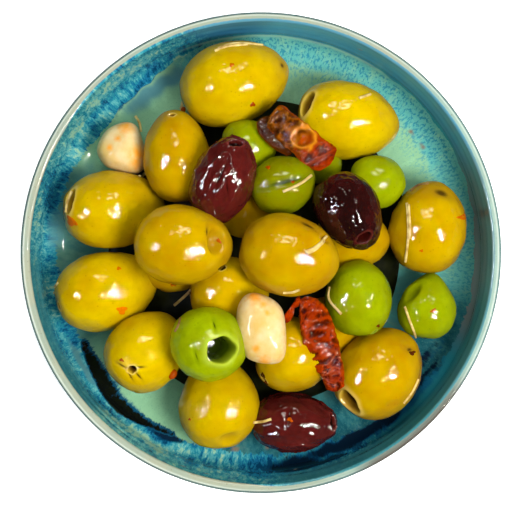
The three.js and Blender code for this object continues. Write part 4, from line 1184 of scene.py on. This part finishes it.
needle_piece("rosemary_needles", NEEDLES,
             needle_material("dried_rosemary_leaf", "#DCC67E", "#A8843A", "#5A4416"))
needle_piece("browned_needles", BROWNED_NEEDLES,
             needle_material("browned_rosemary_leaf", "#8A6A34", "#5A4020", "#2A1C0A"))

# ---- Seeds and flecks of pepper ----
# Scraps from the marinade: flat bits of chilli and pepper skin stuck to the olives, dark torn
# spots at their stem ends, and a couple of seeds. Thin, wet, and shaped to the skin beneath.

# Middle in plan, length, width, bearing, and hue from 0, orange, over 0.5, red, to 1, dark brown.
FLECKS = [
    (-60.0, 9.9, 4.2, 2.6, -40, 0.15), (-44.0, -18.2, 3.0, 2.6, 20, 0.0), (-45.0, -5.0, 1.4, 1.1, 0, 0.1),
    (-9.2, 59.0, 1.6, 1.2, 40, 0.2), (-2.6, 46.8, 1.8, 1.2, 20, 0.55), (48.0, -31.8, 1.4, 2.2, 100, 0.95),
    (54.6, -18.4, 2.0, 1.2, 30, 0.3), (9.2, -53.0, 1.2, 2.0, 60, 0.35), (-13.0, 3.6, 2.0, 1.0, -40, 0.35),
    (-27.9, -10.2, 1.8, 1.2, 0, 0.1), (64.6, 11.4, 2.0, 4.6, 100, 0.2), (50.6, 0.6, 1.2, 0.9, 0, 0.2),
    (-12.0, -4.6, 2.4, 1.1, 30, 1.0), (0.6, -38.6, 1.9, 1.2, -60, 1.0), (1.5, -41.2, 1.6, 1.0, -40, 0.9),
    (-43.6, -33.6, 1.6, 0.9, -20, 0.35), (-22.6, -52.8, 0.9, 0.8, 0, 0.4),
    (36.8, -23.0, 1.2, 1.0, 0, 0.9), (2.2, 26.6, 1.4, 1.2, 0, 0.4), (9.9, 22.0, 1.2, 0.8, 0, 0.6),
]
# Middle in plan, length, width and bearing.
SEEDS = [(-27.9, -38.4, 3.4, 2.5, 60), (-25.4, 46.4, 2.6, 1.7, 75)]
SEED_HUE = 0.45


def fleck_part(fleck, seed):
    """A thin patch whose rings of points are dropped onto the skin and lifted a little."""
    x, y, length, width, bearing, hue = fleck
    turn = math.radians(bearing)
    sides = 18
    rings = []
    for reach, lift in ((1.0, -0.04), (0.95, 0.05), (0.7, 0.10), (0.4, 0.11)):
        ring = []
        for angle in np.linspace(0, 2 * math.pi, sides, endpoint=False):
            ragged = 1 + 0.22 * math.sin(3 * angle + seed) + 0.12 * math.sin(5 * angle + 2 * seed)
            u = math.cos(angle) * length / 2 * reach * ragged
            v = math.sin(angle) * width / 2 * reach * ragged
            px = x + u * math.cos(turn) - v * math.sin(turn)
            py = y + u * math.sin(turn) + v * math.cos(turn)
            height, upright = drop_on_heap(px, py)
            ring.append(np.array((px, py, height)) + np.array(upright) * lift)
        rings.append(ring)
    rings = np.array(rings)
    under = rings[0].mean(axis=0) - np.array((0, 0, 0.1))
    points, faces = wrapped(under, rings, rings[-1].mean(axis=0) + np.array((0, 0, 0.02)))
    return points, faces, {"hue": np.full(len(points), hue)}


def seed_part(seed):
    """One flat pip lying on the skin, as rings from its underside to its top."""
    x, y, length, width, bearing = seed
    ground_z, _ = drop_on_heap(x, y)
    middle_z = ground_z + 0.3 * width
    turn = math.radians(bearing)
    rings = []
    for polar in np.linspace(0.2, math.pi - 0.2, 11):
        ring = []
        for angle in np.linspace(0, 2 * math.pi, 20, endpoint=False):
            u = math.sin(polar) * math.cos(angle) * length / 2
            v = math.sin(polar) * math.sin(angle) * width / 2
            ring.append((x + u * math.cos(turn) - v * math.sin(turn),
                         y + u * math.sin(turn) + v * math.cos(turn),
                         middle_z - math.cos(polar) * width / 2.4))
        rings.append(ring)
    low, high = middle_z - width / 2.4, middle_z + width / 2.4
    points, faces = wrapped((x, y, low), np.array(rings), (x, y, high))
    return points, faces, {"hue": np.full(len(points), SEED_HUE)}


def fleck_material():
    """Chilli and pepper skin softened in oil: orange to dark red, wet."""
    material, tree = new_material("oiled_pepper_skin")
    mm = in_mm(tree)
    hue = add_node(tree, MARK, (), "Fac", attribute_name="hue")
    patches = add_node(tree, NOISE, {"Vector": mm, "Scale": 1 / 1.2, "Detail": 3.0})
    base = painted(
        tree, linear("#D07000"), (add_node(tree, RANGE, (hue, 0.0, 0.5)), "#9A3400"),
        (add_node(tree, RANGE, (hue, 0.6, 1.0)), "#2A1608"),
        (add_node(tree, RANGE, (patches, 0.45, 0.75, 0, 0.4)), "#7A3000"))
    rough = add_node(tree, BUMP, {"Strength": 0.4, "Distance": 0.0002, "Height": patches})
    return finished(material, tree, {"Base Color": base, "Roughness": 0.45, "IOR": 1.45, "Normal": rough,
                                     "Specular IOR Level": 0.0, "Coat Weight": 0.4, "Coat Roughness": 0.04})


pepper_skin = fleck_material()
fleck_parts = [fleck_part(fleck, i) for i, fleck in enumerate(FLECKS)]
make_piece("pepper_flecks", fleck_parts, pepper_skin, "dried_tomato_skin", "olive_heap")
seed_parts = [seed_part(seed) for seed in SEEDS]
make_piece("spice_seeds", seed_parts, pepper_skin, "dried_tomato_skin", "olive_heap")

# ---- Studio ----
# A white sheet under the bowl and the camera straight above. Soft lamps give the light; small lamps
# in clusters, one like a lamp's bulbs and one like a window's panes, give only the wet glints.

CAMERA_DISTANCE = 611.0  # from the lip, in mm
POINT_MM = 0.3152  # size of an image point at the height of the lip
IMAGE_POINTS = 525
MIDDLE_SHIFT = (1.5, -9.8)  # of the bowl's middle from the image's, in image points
SENSOR_MM = 36.0
SHEET_REACH = 3.0


def floor_material():
    """Matt white paper on a light table, which keeps the shadows pale."""
    material, tree = new_material("white_paper")
    fibre = add_node(tree, NOISE, {"Vector": in_mm(tree), "Scale": 0.4})
    base = painted(tree, linear("#F8F8F8"), (add_node(tree, RANGE, (fibre, 0.3, 0.7)), "#FDFDFD"))
    return finished(material, tree, {"Base Color": base, "Roughness": 0.8,
                                     "Emission Color": linear("#FFFFFF"), "Emission Strength": 0.75})


sheet_mesh = bpy.data.meshes.new("floor_sheet")
corners = [(x * SHEET_REACH, y * SHEET_REACH, 0) for x, y in ((-1, -1), (1, -1), (1, 1), (-1, 1))]
sheet_mesh.from_pydata(corners, [], [(0, 1, 2, 3)])
sheet_mesh.materials.append(floor_material())
floor_sheet = bpy.data.objects.new("floor_sheet", sheet_mesh)
bpy.context.scene.collection.objects.link(floor_sheet)
floor_sheet.visible_glossy = False


def lamp(name, bearing, height, distance, size, watts, colour):
    """A soft rectangular lamp aimed at the heap from a bearing and a height in degrees."""
    light = bpy.data.lights.new(name, "AREA")
    light.shape = "RECTANGLE"
    light.size, light.size_y = size
    light.energy = watts
    light.color = linear(colour)[:3]
    holder = bpy.data.objects.new(name, light)
    b, h = math.radians(bearing), math.radians(height)
    away = Vector((math.cos(b) * math.cos(h), math.sin(b) * math.cos(h), math.sin(h)))
    holder.location = away * distance + Vector((0, 0, RIM_Z * MM))
    holder.rotation_euler = away.to_track_quat("Z", "Y").to_euler()
    bpy.context.scene.collection.objects.link(holder)
    return holder


lamp("key_lamp", -24, 61, 0.9, (0.34, 0.34), 9.8, "#FFF9F0").visible_glossy = False
for turn, lift in ((0, 0), (-13, 6), (12, 7), (2, -9)):
    bulb = lamp(f"key_glint_{turn}", -22 + turn, 55 + lift, 0.9, (0.05, 0.035), 3.6, "#FFFCF4")
    bulb.visible_diffuse = False
lamp("back_lamp", 90, 50, 0.95, (0.4, 0.16), 2.6, "#FFF6E8")
lamp("overhead_lamp", 60, 86, 1.1, (0.9, 0.9), 4.2, "#FFFFFF").visible_glossy = False
for turn, lift in ((0, 0), (-9, 5), (8, -6)):
    pane = lamp(f"window_glint_{turn}", 186 + turn, 46 + lift, 0.9, (0.05, 0.04), 2.8, "#EAF2FF")
    pane.visible_diffuse = False

world = bpy.data.worlds.new("studio_air")
world.use_nodes = True
air = world.node_tree.nodes["Background"].inputs
air["Color"].default_value = linear("#F4F8FF")
air["Strength"].default_value = 0.15
world.cycles_visibility.glossy = False
bpy.context.scene.world = world

view = bpy.data.cameras.new("overhead_camera")
view.sensor_width = SENSOR_MM
view.lens = SENSOR_MM * CAMERA_DISTANCE / (POINT_MM * IMAGE_POINTS)
view.shift_x = MIDDLE_SHIFT[0] / IMAGE_POINTS
view.shift_y = MIDDLE_SHIFT[1] / IMAGE_POINTS
camera = bpy.data.objects.new("overhead_camera", view)
camera.location = (0, 0, (RIM_Z + CAMERA_DISTANCE) * MM)
bpy.context.scene.collection.objects.link(camera)
bpy.context.scene.camera = camera
bpy.context.scene.view_settings.view_transform = "Standard"
